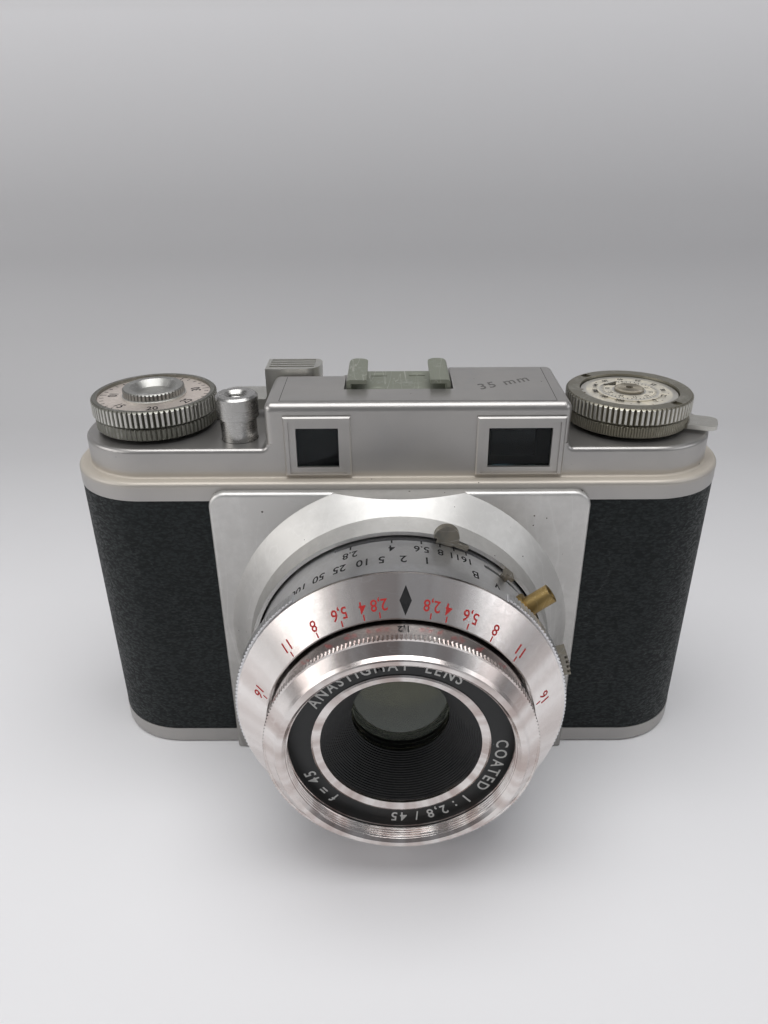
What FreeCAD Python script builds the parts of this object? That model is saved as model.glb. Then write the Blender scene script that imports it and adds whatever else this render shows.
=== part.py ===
"""35 mm rangefinder film camera as an assembly of separate pieces, in millimetres.

Frame: +X to the right as seen from the front, +Y from the lens towards the back, +Z up.
The origin is the mouth of the tripod socket, in the middle of the base.
Stations along the lens axis are distances in front of the body's front face.
Angles round the lens axis are measured from the top, clockwise as seen from the front.
"""
import FreeCAD
import Part
import math
import os

V = FreeCAD.Vector

# ---- driving dimensions of the body ----
HALF_LENGTH = 66.0          # half the body's length, over the top cover's flange
BODY_X = -0.4               # the body's middle lies a little to the left of the lens axis
HALF_DEPTH = 16.8           # half the body's depth
END_RADIUS = 16.0           # plan radius of the rounded ends
BASE_TOP = 4.0              # top of the bottom cover's wall
FLANGE_BOTTOM = 62.5        # the top cover's flange covers the body's upper edge
FLANGE_TOP = 66.3
DECK = 72.2                 # the deck that the knobs stand on
DECK_INSET = 2.5            # the upper wall stands back from the flange
SHEET = 0.8                 # thickness of the covers
COVERING = 0.85             # thickness of the leatherette
COVERING_INSET = 0.1
CASTING_INSET = 1.0
CASTING_WALL = 1.6
EDGE_ROUND = 0.85
COVE = 1.0                  # hollow rounding where the housing rises from the deck
FRONT_WALL = -HALF_DEPTH + DECK_INSET
SCREW_PLACES = ((-44.0, -9.0), (44.0, -9.0), (-40.0, 10.5), (40.0, 10.5))

# ---- finder housing on the deck ----
HOUSING_LEFT, HOUSING_RIGHT = -25.5, 32.5
HOUSING_TOP = 81.3
HOUSING_ROUND = 1.5
HOUSING_REAR_LEFT = 3.8     # the left part stops short to clear the wind lever's thumb pad
HOUSING_REAR_RIGHT = 9.3
SHOE_REAR = 10.1
SHOE_FRONT = -5.8
SHOE_FLOOR = 79.35
WINDOWS = {  # opening in the cover: x low, x high, z low, z high
    "viewfinder": (17.0, 29.0, 68.5, 76.5),
    "rangefinder": (-19.6, -11.5, 68.6, 76.6),
}
WINDOW_FRAMES = {  # outside of the raised frame
    "viewfinder": (14.7, 31.4, 66.85, 78.8),
    "rangefinder": (-21.9, -9.1, 66.85, 79.0),
}
EYEPIECE_X, EYEPIECE_Z = 22.8, 76.3

# ---- knobs on the deck ----
WIND_X, REWIND_X = -49.8, 46.8
KNOB_R, LOWER_KNOB_R = 12.5, 12.1
LOWER_KNOB_BOTTOM, LOWER_KNOB_TOP = 73.05, 75.45
KNOB_BOTTOM, KNOB_TOP = 75.7, 79.1
COUNTER_R, FILM_DIAL_R, DIAL_DEPTH = 11.3, 9.8, 0.6
HUB_R, HUB_TOP = 6.15, 80.4
SHAFT_R = 2.0
RUN = 0.05                  # radial clearance of a shaft in its bore
KNOB_TEETH, FINE_TEETH = 76, 140

# ---- shutter release ----
RELEASE_X, RELEASE_Y = -31.5, -7.8
RELEASE_TOP, RELEASE_STEP = 81.3, 76.8
RELEASE_CAP_R, RELEASE_SHANK_R = 4.1, 3.55
RELEASE_TRAVEL = 2.2
CABLE_R, CABLE_DEPTH = 1.6, 4.5

# ---- lens and shutter: (station, radius) on the lens axis ----
LENS_Z = 32.5
PLATE_HALF_WIDTH, PLATE_TOP, PLATE_FACE = 36.9, 64.9, 1.75
BOSS_BASE_R, BOSS_SHOULDER, BOSS_SHOULDER_R, BOSS_LIP, BOSS_LIP_R = 34.7, 7.0, 30.2, 11.3, 29.4
BARREL_R, BARREL_WALL, BARREL_FRONT = 28.2, 1.8, 22.6
BARREL_BORE_R = BARREL_R - BARREL_WALL
SPEED_R, SPEED_BACK, SPEED_FRONT = 30.2, 22.8, 25.2
SCALE_R, SCALE_BACK, SCALE_FRONT, SCALE_BORE = 29.7, 25.4, 30.7, 23.85
SOCKET_R, SOCKET_BORE, SOCKET_FRONT = 20.3, 18.0, 28.2
FOCUS_R, FOCUS_BACK, FOCUS_KNURL, FOCUS_RIM, FOCUS_RIM_R = 23.4, 29.2, 34.5, 38.0, 21.2
NAME_OUTER, NAME_INNER, NAME_FACE = 19.4, 15.55, 34.5
RETAINER_INNER = 14.0
GLASS_R = 9.2
FUNNEL_BACK, FUNNEL_FRONT, FUNNEL_RIBS = 26.6, 33.7, 20
FILTER_R = 19.75            # wall of the front ring's filter seat

# ---- blades ----
IRIS_BLADES, IRIS_OPEN_R, IRIS_BAND, IRIS_PIVOT_R = 5, 8.0, 3.9, 13.2
IRIS_STATION, SHUTTER_STATION, BLADE_PITCH, BLADE_THICK = 13.0, 15.2, 0.3, 0.15
IRIS_REST_DEG = 21.4        # how far the blades are closed at rest
SHUTTER_BLADES, SHUTTER_OPEN_R, SHUTTER_BAND, SHUTTER_PIVOT_R = 3, 8.4, 8.6, 18.5
SHUTTER_SWING_DEG = 27.5
PIN_R = 0.45

# ---- film path ----
FILM_PLANE = 10.2
GATE_W, GATE_H = 36.0, 24.0
PERF_R = 6.0                # eight perforations of film go round the sprocket
SPROCKET_X, SPROCKET_Y = -35.5, 3.6

# ---- back door ----
DOOR_FRONT = 8.05
HINGE_X, HINGE_Y, KNUCKLE_R = BODY_X - HALF_LENGTH + 1.05, 8.0, 1.5

# ---- tripod socket ----
SOCKET_HOLE_R = 2.55        # tapping radius of a quarter-inch tripod thread


# ------------------------------------------------------------------ helpers
def box(x0, x1, y0, y1, z0, z1):
    return Part.makeBox(x1 - x0, y1 - y0, z1 - z0, V(x0, y0, z0))


def cylinder(x, y, z0, z1, r):
    return Part.makeCylinder(r, z1 - z0, V(x, y, z0))


def ring(x, y, z0, z1, outer, inner):
    return cylinder(x, y, z0, z1, outer).cut(cylinder(x, y, z0 - 1, z1 + 1, inner))


def union(shapes):
    whole = shapes[0]
    for shape in shapes[1:]:
        whole = whole.fuse(shape)
    return whole.removeSplitter()


def subtract(shape, tools):
    for tool in tools:
        shape = shape.cut(tool)
    return shape


def upright_edges(solid):
    """The edges that run parallel to Z."""
    return [e for e in solid.Edges if abs(e.tangentAt(e.FirstParameter).z) > 0.9]


def level_edges(solid, z):
    """The edges that lie wholly at one height."""
    return [e for e in solid.Edges if abs(e.BoundBox.ZMin - z) + abs(e.BoundBox.ZMax - z) < 1e-4]


def stadium(inset, z0, z1, top_round=0.0, bottom_round=0.0):
    """The body's plan, inset, from z0 to z1, with rounded top or bottom edges."""
    hx, hy, r = HALF_LENGTH - inset, HALF_DEPTH - inset, END_RADIUS - inset
    solid = box(BODY_X - hx, BODY_X + hx, -hy, hy, z0, z1)
    solid = solid.makeFillet(r, upright_edges(solid))
    for z, radius in ((z1, top_round), (z0, bottom_round)):
        if radius:
            solid = solid.makeFillet(radius, level_edges(solid, z))
    return solid


def rounded_block(x0, x1, y0, y1, z0, z1, corner, top):
    """A block with rounded upright corners and a rounded top edge."""
    solid = box(x0, x1, y0, y1, z0, z1)
    solid = solid.makeFillet(corner, upright_edges(solid))
    return solid.makeFillet(top, level_edges(solid, z1))


def turned(points, x=0.0, y=0.0):
    """A solid of revolution about an upright axis from (radius, z) points."""
    wire = Part.makePolygon([V(x + r, y, z) for r, z in points + points[:1]])
    return Part.Face(wire).revolve(V(x, y, 0), V(0, 0, 1), 360)


def lens_turned(points):
    """A solid of revolution about the lens axis from (station, radius) points."""
    wire = Part.makePolygon([V(r, -HALF_DEPTH - s, LENS_Z) for s, r in points + points[:1]])
    return Part.Face(wire).revolve(V(0, 0, LENS_Z), V(0, 1, 0), 360)


def lens_disc(back, front, outer, inner=0.0):
    """A disc or ring on the lens axis between two stations."""
    disc = Part.makeCylinder(outer, front - back, V(0, -HALF_DEPTH - front, LENS_Z), V(0, 1, 0))
    if inner:
        hole = Part.makeCylinder(inner, front - back + 2, V(0, -HALF_DEPTH - front - 1, LENS_Z), V(0, 1, 0))
        disc = disc.cut(hole)
    return disc


def clock_point(angle, radius, station=0.0):
    """A point at an angle from the top, clockwise from the front, round the lens axis."""
    a = math.radians(angle)
    return V(radius * math.sin(a), -HALF_DEPTH - station, LENS_Z + radius * math.cos(a))


def clock_turn(shape, angle, centre=None):
    """The shape turned clockwise, as seen from the front, about the lens axis or a parallel one."""
    done = shape.copy()
    done.rotate(centre or V(0, 0, LENS_Z), V(0, 1, 0), angle)
    return done


def clock_sector(back, front, outer, inner, start, end):
    """A piece of a ring on the lens axis between two angles."""
    edge_points = [clock_point(start, inner, back), clock_point(start, outer, back)]
    edge_points += [clock_point(start, outer, front), clock_point(start, inner, front)]
    face = Part.Face(Part.makePolygon(edge_points + edge_points[:1]))
    return face.revolve(V(0, 0, LENS_Z), V(0, 1, 0), end - start)


def toothed_face(teeth, outer, depth, at):
    """A knurled outline as a face; `at` places a point (angle, radius) in space."""
    step = 360.0 / teeth
    points = []
    for i in range(teeth):
        for share, radius in ((0.0, outer - depth), (0.3, outer), (0.7, outer)):
            points.append(at((i + share) * step, radius))
    return Part.Face(Part.makePolygon(points + points[:1]))


def knurled(x, y, z0, z1, outer, teeth, depth, chamfer):
    """An upright knurled knob with chamfered edges."""
    def at(angle, radius):
        a = math.radians(angle)
        return V(x + radius * math.cos(a), y + radius * math.sin(a), z0)
    teeth_solid = toothed_face(teeth, outer, depth, at).extrude(V(0, 0, z1 - z0))
    c, over = chamfer, outer + 0.02
    outline = [(0, z0), (outer - c, z0), (over, z0 + c), (over, z1 - c), (outer - c, z1), (0, z1)]
    return teeth_solid.common(turned(outline, x, y))


def lens_knurled(back, front, outer, teeth, depth):
    """A knurled ring's outline on the lens axis."""
    def at(angle, radius):
        return clock_point(angle, radius, back)
    return toothed_face(teeth, outer, depth, at).extrude(V(0, back - front, 0))


# ------------------------------------------------------------------ body
def body_casting():
    """Die-cast frame: front wall, rounded ends, floors, lens tunnel and film gate."""
    low, high = 1.2, 65.3
    floor_top, ceiling = 3.4, 63.3
    front = -HALF_DEPTH + CASTING_INSET
    inner = CASTING_INSET + CASTING_WALL
    shell = stadium(CASTING_INSET, low, high).cut(stadium(inner, low - 1, high + 1))
    shell = shell.common(box(-80, 80, -40, DOOR_FRONT - 0.15, low, high))
    floors = [stadium(CASTING_INSET, low, floor_top), stadium(CASTING_INSET, ceiling, high)]
    half_w, half_h, wall = GATE_W / 2 + 2.5, GATE_H / 2 + 2.5, 1.5
    tunnel = box(-half_w - wall, half_w + wall, front, FILM_PLANE - 1.6,
                 LENS_Z - half_h - wall, LENS_Z + half_h + wall)
    gate = box(-30, 30, FILM_PLANE - 1.6, FILM_PLANE - 0.4, floor_top, ceiling)
    rails = [box(-30, 30, FILM_PLANE - 0.4, FILM_PLANE, LENS_Z + s * rail - 0.6, LENS_Z + s * rail + 0.6)
             for s in (-1, 1) for rail in (13.6, 17.6)]
    walls = [box(s * 30 - 0.75, s * 30 + 0.75, front + 1.0, FILM_PLANE - 0.4, floor_top, ceiling)
             for s in (-1, 1)]
    whole = union([shell] + floors + [tunnel, gate] + rails + walls)
    bore = lens_disc(-5.0, 0.0, 17.0)
    hollow = box(-half_w, half_w, front + CASTING_WALL, FILM_PLANE - 1.6, LENS_Z - half_h, LENS_Z + half_h)
    opening = box(-GATE_W / 2, GATE_W / 2, 0, 20, LENS_Z - GATE_H / 2, LENS_Z + GATE_H / 2)
    cuts = [bore, hollow, opening]
    cuts.append(cylinder(WIND_X, 0, ceiling - 1, high + 1, SHAFT_R + RUN))
    cuts.append(cylinder(REWIND_X, 0, ceiling - 1, high + 1, 4.3))
    cuts.append(cylinder(WIND_X, 0, low - 1, floor_top + 1, SHAFT_R + RUN))
    cuts.append(cylinder(SPROCKET_X, SPROCKET_Y, ceiling - 1, high + 1, SHAFT_R + RUN))
    cuts.append(cylinder(SPROCKET_X, SPROCKET_Y, low - 1, floor_top + 1, SHAFT_R + RUN))
    cuts.append(cylinder(SPROCKET_X, SPROCKET_Y, floor_top, ceiling, PERF_R + 1.6))
    cuts.append(cylinder(RELEASE_X, RELEASE_Y, ceiling - 1, high + 1, 1.5))
    cuts.append(cylinder(0, 0, low - 1, floor_top + 1, 5.6))
    cuts += [cylinder(x, y, low - 1, floor_top + 1, 0.9) for x, y in SCREW_PLACES]
    return subtract(whole, cuts)


def bottom_cover():
    """Pressed pan under the body, with the tripod bush and four screws through it."""
    pan = stadium(0.0, 0.0, BASE_TOP, bottom_round=0.7).cut(stadium(0.9, 0.9, BASE_TOP + 1))
    holes = [cylinder(0, 0, -1, 2, 7.03)]
    for x, y in SCREW_PLACES:
        holes.append(cylinder(x, y, -1, 2, 1.05))
        holes.append(Part.makeCone(2.2, 1.05, 0.62, V(x, y, -0.02)))
    return subtract(pan, holes)


def tripod_bush():
    """Threaded bush for the tripod screw, flanged in the bottom cover."""
    outline = [(SOCKET_HOLE_R, 0.0), (7.0, 0.0), (7.0, 1.1), (5.5, 1.1), (5.5, 7.0), (SOCKET_HOLE_R, 7.0)]
    return turned(outline)


def slotted_screw(x, y, z, head_r, head_h, shank_r, length, slot_w):
    """A countersunk screw pointing up, its slotted head at height z."""
    head = Part.makeCone(head_r, shank_r, head_h, V(x, y, z))
    shank = cylinder(x, y, z + head_h, z + length, shank_r)
    slot = box(x - head_r, x + head_r, y - slot_w / 2, y + slot_w / 2, z - 1, z + head_h * 0.45)
    return head.fuse(shank).cut(slot)


def bottom_screws():
    return Part.Compound([slotted_screw(x, y, 0.02, 2.1, 0.6, 0.85, 5.0, 0.45) for x, y in SCREW_PLACES])


def housing_blocks(inset, base):
    """The finder housing: a wide front block, a right rear block and the shoe's lower seat."""
    front = FRONT_WALL + inset
    left, right, top = HOUSING_LEFT + inset, HOUSING_RIGHT - inset, HOUSING_TOP - inset
    corner, edge = HOUSING_ROUND + 0.1 - 0.6 * inset, HOUSING_ROUND - 0.6 * inset
    wide = rounded_block(left, right, front, HOUSING_REAR_LEFT - inset, base, top, corner, edge)
    rear = rounded_block(9.5 + inset, right, front + 6, HOUSING_REAR_RIGHT - inset, base, top, corner, edge)
    seat = rounded_block(-12.2 + inset, 12.2 - inset, front + 6, SHOE_REAR - inset,
                         base, SHOE_FLOOR - inset, corner, 0.7)
    return union([wide, rear, seat])


def cove(x, side, rear):
    """A hollow rounding along the foot of one side of the housing, its front edge rounded."""
    inner, outer, low, high = x - side * 3.0, x + side * COVE, DECK - 2.0, DECK + COVE
    block = box(min(inner, outer), max(inner, outer), FRONT_WALL, rear - HOUSING_ROUND, low, high)
    block = block.cut(Part.makeCylinder(COVE, 60, V(outer, -30, high), V(0, 1, 0)))
    front = [e for e in block.Edges if e.Curve.TypeId == "Part::GeomCircle"
             and e.BoundBox.YMax < FRONT_WALL + 0.01]
    return block.makeFillet(EDGE_ROUND, front)


def top_cover():
    """Pressed cover: flange, deck and finder housing, open underneath."""
    flange = stadium(0.0, FLANGE_BOTTOM, FLANGE_TOP, top_round=EDGE_ROUND)
    deck = stadium(DECK_INSET, FLANGE_BOTTOM, DECK, top_round=EDGE_ROUND)
    steps = flange.fuse(deck).removeSplitter()
    foot = [e for e in level_edges(steps, FLANGE_TOP)
            if abs(e.BoundBox.YMin) < -FRONT_WALL + 0.01 and abs(e.BoundBox.YMax) < -FRONT_WALL + 0.01]
    steps = steps.makeFillet(0.5, foot)
    coves = [cove(HOUSING_LEFT, -1, HOUSING_REAR_LEFT), cove(HOUSING_RIGHT, 1, HOUSING_REAR_RIGHT)]
    outer = union([steps, housing_blocks(0.0, FLANGE_TOP - 2)] + coves)
    void = stadium(SHEET, FLANGE_BOTTOM - 1, FLANGE_TOP - SHEET)
    void = void.fuse(stadium(DECK_INSET + SHEET, FLANGE_BOTTOM - 1, DECK - SHEET))
    void = void.fuse(housing_blocks(SHEET, FLANGE_TOP - 2))
    cuts = [void]
    cuts.append(box(-10.7, 10.7, SHOE_FRONT, 20, SHOE_FLOOR, 90))
    for x0, x1, z0, z1 in WINDOWS.values():
        cuts.append(box(x0, x1, -18, FRONT_WALL + SHEET + 0.5, z0, z1))
    cuts.append(cylinder(WIND_X, 0, 70, 75, SHAFT_R + 0.4))
    cuts.append(cylinder(REWIND_X, 0, 70, 75, SHAFT_R + RUN))
    cuts.append(cylinder(RELEASE_X, RELEASE_Y, 70, 75, RELEASE_SHANK_R + 0.1))
    cuts.append(Part.makeCylinder(3.05, 6, V(EYEPIECE_X, HOUSING_REAR_RIGHT - 3, EYEPIECE_Z), V(0, 1, 0)))
    cuts += [cylinder(x, y, 78, 90, 0.8) for x, y in SHOE_SCREWS]
    cover = subtract(outer, cuts)
    under_shoe = box(-10.7, 10.7, SHOE_FRONT - SHEET, HOUSING_REAR_LEFT, SHOE_FLOOR - SHEET, SHOE_FLOOR)
    shoe_step = box(-10.7, 10.7, SHOE_FRONT - SHEET, SHOE_FRONT, SHOE_FLOOR - SHEET, HOUSING_TOP - SHEET)
    sides = [box(s * 11.1 - 0.4, s * 11.1 + 0.4, SHOE_FRONT - SHEET, HOUSING_REAR_LEFT - 1.5,
                 SHOE_FLOOR - SHEET, HOUSING_TOP - 0.4) for s in (-1, 1)]
    cover = union([cover, under_shoe, shoe_step] + sides)
    return subtract(cover, [cylinder(x, y, 78, 90, 0.8) for x, y in SHOE_SCREWS])


SHOE_SCREWS = ((-4.0, -3.0), (4.0, -3.0), (-4.0, 6.0), (4.0, 6.0))
SHOE_PLATE_TOP = SHOE_FLOOR + 0.82
SHOE_CHANNEL_HALF, SHOE_CHANNEL_H, SHOE_GAP_HALF = 9.4, 2.05, 6.25


def accessory_shoe():
    """Bent plate with two inward lips, open to the back, for a standard flash foot."""
    y0, y1 = SHOE_FRONT + 0.45, SHOE_REAR - 0.9
    outer = SHOE_CHANNEL_HALF + SHEET
    lip_low = SHOE_PLATE_TOP + SHOE_CHANNEL_H
    block = box(-outer, outer, y0, y1, SHOE_FLOOR + 0.02, lip_low + SHEET)
    bends = [e for e in block.Edges if abs(e.tangentAt(e.FirstParameter).y) > 0.9
             and e.BoundBox.ZMin > lip_low]
    block = block.makeFillet(0.75, bends)
    channel = box(-SHOE_CHANNEL_HALF, SHOE_CHANNEL_HALF, y0 - 1, y1 + 1, SHOE_PLATE_TOP, lip_low)
    gap = box(-SHOE_GAP_HALF, SHOE_GAP_HALF, y0 - 1, y1 + 1, SHOE_PLATE_TOP, lip_low + 5)
    shoe = subtract(block, [channel, gap])
    for s in (-1, 1):
        corner = box(min(0, s * 20), max(0, s * 20), y1 - 1.6, y1 + 1, lip_low - 0.01, lip_low + 5)
        keep = cylinder(s * (SHOE_GAP_HALF + outer) / 2, y1 - 2.0, lip_low - 1, lip_low + 6, 2.05)
        shoe = shoe.cut(corner.cut(keep))
    seats = [Part.makeCone(0.9, 1.8, 0.62, V(x, y, SHOE_PLATE_TOP - 0.6)) for x, y in SHOE_SCREWS]
    seats += [cylinder(x, y, 78, 84, 0.85) for x, y in SHOE_SCREWS]
    return subtract(shoe, seats)


def shoe_screws():
    screws = []
    for x, y in SHOE_SCREWS:
        head = Part.makeCone(0.75, 1.7, 0.55, V(x, y, SHOE_PLATE_TOP - 0.56))
        shank = cylinder(x, y, 78.0, SHOE_PLATE_TOP - 0.56, 0.72)
        slot = box(x - 2, x + 2, y - 0.2, y + 0.2, SHOE_PLATE_TOP - 0.25, 85)
        screws.append(head.fuse(shank).cut(slot))
    return Part.Compound(screws)


def window_frame(name):
    """A stepped frame round a window: a raised outer rim and a lower flat border."""
    x0, x1, z0, z1 = WINDOW_FRAMES[name]
    gx0, gx1, gz0, gz1 = WINDOWS[name]
    face = FRONT_WALL - 0.02
    rim_w, rim_out, border_out = 0.95, 0.65, 0.3
    rim = box(x0, x1, face - rim_out, face, z0, z1)
    front_edges = [e for e in rim.Edges if e.BoundBox.YMax < face - rim_out + 0.01]
    rim = rim.makeChamfer(0.28, front_edges)
    recess = box(x0 + rim_w, x1 - rim_w, face - 5, face - border_out, z0 + 0.5, z1 - rim_w)
    return subtract(rim, [recess, box(gx0, gx1, face - 5, face + 5, gz0, gz1)])


def window_frames():
    return Part.Compound([window_frame(name) for name in WINDOWS])


def finder_windows():
    """The two front panes, set in the cover's openings."""
    panes = []
    for x0, x1, z0, z1 in WINDOWS.values():
        panes.append(box(x0 + 0.05, x1 - 0.05, FRONT_WALL + 0.25, FRONT_WALL + 1.25, z0 + 0.05, z1 - 0.05))
    return Part.Compound(panes)


def eyepiece_ring():
    face = HOUSING_REAR_RIGHT
    tube = Part.makeCylinder(3.0, 3.6, V(EYEPIECE_X, face - 2.2, EYEPIECE_Z), V(0, 1, 0))
    collar = Part.makeCylinder(3.85, 1.4, V(EYEPIECE_X, face + 0.02, EYEPIECE_Z), V(0, 1, 0))
    bore = Part.makeCylinder(2.3, 9, V(EYEPIECE_X, face - 4, EYEPIECE_Z), V(0, 1, 0))
    seat = Part.makeCylinder(2.9, 2, V(EYEPIECE_X, face + 0.5, EYEPIECE_Z), V(0, 1, 0))
    return subtract(tube.fuse(collar), [bore, seat])


def eyepiece_glass():
    return Part.makeCylinder(2.85, 0.7, V(EYEPIECE_X, HOUSING_REAR_RIGHT + 0.52, EYEPIECE_Z), V(0, 1, 0))


def rangefinder_prisms():
    """Beam splitter behind the viewfinder window and a mirror prism behind the other."""
    splitter = box(18.4, 27.2, -8.0, 0.8, 68.2, 77.0)
    mirror = box(-19.6, -11.2, -12.6, -6.0, 68.2, 76.6)
    corner = Part.makePolygon([V(-20, -13, 60), V(-20, -5.5, 60), V(-12.4, -5.5, 60), V(-20, -13, 60)])
    return Part.Compound([splitter, mirror.cut(Part.Face(corner).extrude(V(0, 0, 30)))])


def leather(y_limit, sign):
    """Leatherette from the front plate round one end of the body."""
    skin = stadium(COVERING_INSET, BASE_TOP + 0.08, FLANGE_BOTTOM - 0.08)
    skin = skin.cut(stadium(COVERING_INSET + COVERING, 0, 70))
    inner_x = PLATE_HALF_WIDTH + 0.05
    side = box(inner_x, 80, -30, y_limit, 0, 70) if sign > 0 else box(-80, -inner_x, -30, y_limit, 0, 70)
    return skin.common(side)


def front_plate():
    """Pressed front with rounded corners and the conical boss that carries the shutter."""
    back = -HALF_DEPTH - 0.05
    face = -HALF_DEPTH - PLATE_FACE
    low = 0.25
    slab = box(-PLATE_HALF_WIDTH, PLATE_HALF_WIDTH, face, back, low, PLATE_TOP)
    corners = [e for e in slab.Edges if abs(e.tangentAt(e.FirstParameter).y) > 0.9]
    top_corners = [e for e in corners if e.BoundBox.ZMin > 10]
    slab = slab.makeFillet(3.2, top_corners)
    rim = [e for e in slab.Edges if e.BoundBox.YMax < face + 0.01 and e.BoundBox.ZMax > low + 1]
    slab = slab.makeFillet(0.8, rim)
    outline = [(0.05, BOSS_LIP_R - 0.75), (0.05, BOSS_BASE_R), (PLATE_FACE, BOSS_BASE_R)]
    outline += [(BOSS_SHOULDER, BOSS_SHOULDER_R), (BOSS_LIP, BOSS_LIP_R), (BOSS_LIP, BOSS_LIP_R - 0.75)]
    boss = lens_turned(outline)
    boss = boss.common(box(-60, 60, -60, 0, low, PLATE_TOP))
    whole = union([slab.cut(lens_disc(-1, 4, BOSS_BASE_R - 2)), boss])
    return whole.cut(lens_disc(-1, 20, BOSS_LIP_R - 0.75))


# ------------------------------------------------------------------ back door
def door_shell(outer_inset, inner_inset):
    shell = stadium(outer_inset, BASE_TOP + 0.1, FLANGE_BOTTOM - 0.1).cut(stadium(inner_inset, 0, 70))
    return shell.common(box(-80, 80, DOOR_FRONT, 40, 0, 70))


def back_door():
    """Hinged back: a curved metal shell with its middle knuckle."""
    shell = door_shell(COVERING_INSET + COVERING + 0.02, COVERING_INSET + COVERING + 1.25)
    knuckle = cylinder(HINGE_X, HINGE_Y, 17.2, 48.8, KNUCKLE_R)
    arm = box(HINGE_X, HINGE_X + 2.75, DOOR_FRONT + 0.1, DOOR_FRONT + 1.2, 17.2, 48.8)
    door = union([shell, knuckle.cut(box(HINGE_X + 0.4, 0, -20, DOOR_FRONT, 0, 70)), arm])
    catch = box(58.6, 62.6, DOOR_FRONT + 0.2, DOOR_FRONT + 3.2, 50.0, 56.0)
    door = union([door, catch.common(stadium(COVERING_INSET + COVERING + 0.1, 0, 70))])
    return door.cut(cylinder(HINGE_X, HINGE_Y, 0, 70, 0.8 + RUN))


def back_leather():
    skin = door_shell(COVERING_INSET, COVERING_INSET + COVERING)
    return skin.cut(box(-80, HINGE_X + 2.35, -20, DOOR_FRONT + 1.6, 0, 70))


def hinge_pin():
    """The pin and the body's two fixed knuckles."""
    parts = [cylinder(HINGE_X, HINGE_Y, 6.0, 60.0, 0.8)]
    for z0, z1 in ((6.0, 17.0), (49.0, 60.0)):
        knuckle = cylinder(HINGE_X, HINGE_Y, z0, z1, KNUCKLE_R)
        foot = box(HINGE_X - 0.1, HINGE_X + 1.2, 6.45, DOOR_FRONT - 0.2, z0, z1)
        part = knuckle.cut(box(HINGE_X + 0.4, 0, DOOR_FRONT - 0.1, 20, 0, 70)).fuse(foot)
        parts.append(part.cut(stadium(CASTING_INSET - 0.04, 0, 70)))
    return union(parts)


def pressure_plate():
    plate = box(-31, 31, FILM_PLANE + 0.25, FILM_PLANE + 1.25, LENS_Z - 19, LENS_Z + 19)
    uprights = [e for e in plate.Edges if abs(e.tangentAt(e.FirstParameter).y) > 0.9]
    return plate.makeFillet(2.5, uprights)


def pressure_spring():
    """Bowed leaf spring between the door and the pressure plate."""
    y_plate, y_door, half = FILM_PLANE + 1.28, HALF_DEPTH - 2.24, 22.0
    sag = y_door - 0.32 - y_plate
    y_leaf = y_door - 0.32
    arc = Part.Arc(V(-half, y_leaf, 0), V(0, y_leaf - sag, 0), V(half, y_leaf, 0)).toShape()
    top = Part.Arc(V(-half, y_door, 0), V(0, y_door - sag, 0), V(half, y_door, 0)).toShape()
    ends = [Part.makeLine(V(s * half, y_leaf, 0), V(s * half, y_door, 0)) for s in (-1, 1)]
    wire = Part.Wire(Part.__sortEdges__([arc, top] + ends))
    leaf = Part.Face(wire).extrude(V(0, 0, 9))
    leaf.translate(V(0, 0, LENS_Z - 4.5))
    return leaf


# ------------------------------------------------------------------ wind side
PAD_X0, PAD_X1, PAD_Y0, PAD_Y1, PAD_TOP = -27.7, -16.1, 5.2, 12.6, 82.0
ARM_LOW, ARM_TOP, PAD_THICK = 73.9, 76.2, 1.7


def wind_lever():
    """Knurled hub with a cranked arm along the back and a ribbed thumb pad at its end."""
    hub = knurled(WIND_X, 0, LOWER_KNOB_BOTTOM, LOWER_KNOB_TOP, LOWER_KNOB_R, KNOB_TEETH, 0.3, 0.25)
    link = box(WIND_X + 8, WIND_X + 15.5, 1.5, 8.5, LOWER_KNOB_BOTTOM, LOWER_KNOB_TOP - 0.2)
    arm = box(WIND_X + 13.0, PAD_X1, PAD_Y0 - 2.0, PAD_Y1 - 1.0, ARM_LOW, ARM_TOP)
    arm = arm.cut(box(PAD_X0, 0, -10, PAD_Y0, 70, 80))
    arm = arm.makeFillet(2.0, [e for e in upright_edges(arm) if e.BoundBox.XMax < WIND_X + 14])
    link = link.fuse(box(WIND_X + 13.3, WIND_X + 15.5, 3.5, 8.5, LOWER_KNOB_BOTTOM, ARM_LOW + 0.5))
    pad = box(PAD_X0, PAD_X1, PAD_Y0, PAD_Y1, ARM_LOW, PAD_TOP)
    for y_end, radius in ((PAD_Y0, 3.8), (PAD_Y1, 1.8)):
        corner = [e for e in upright_edges(pad)
                  if e.BoundBox.XMin > PAD_X1 - 0.01 and abs(e.BoundBox.YMin - y_end) < 0.01]
        pad = pad.makeFillet(radius, corner)
    web_gap = box(PAD_X0 + 1.4, PAD_X1 - 1.2, PAD_Y0 + 1.5, PAD_Y1 + 5, ARM_TOP, PAD_TOP - PAD_THICK)
    pad = pad.cut(web_gap)
    lever = union([hub, link, arm, pad])
    grooves = [box(PAD_X0 + 0.7, PAD_X1 - 1.5, PAD_Y0 + y, PAD_Y0 + y + 0.75, PAD_TOP - 0.4, 90)
               for y in (1.5, 3.05, 4.6, 6.15)]
    clear = cylinder(WIND_X, 0, LOWER_KNOB_TOP, 90, KNOB_R + 0.3)
    return subtract(lever, grooves + [clear, cylinder(WIND_X, 0, 70, 80, SHAFT_R + RUN)])


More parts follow.
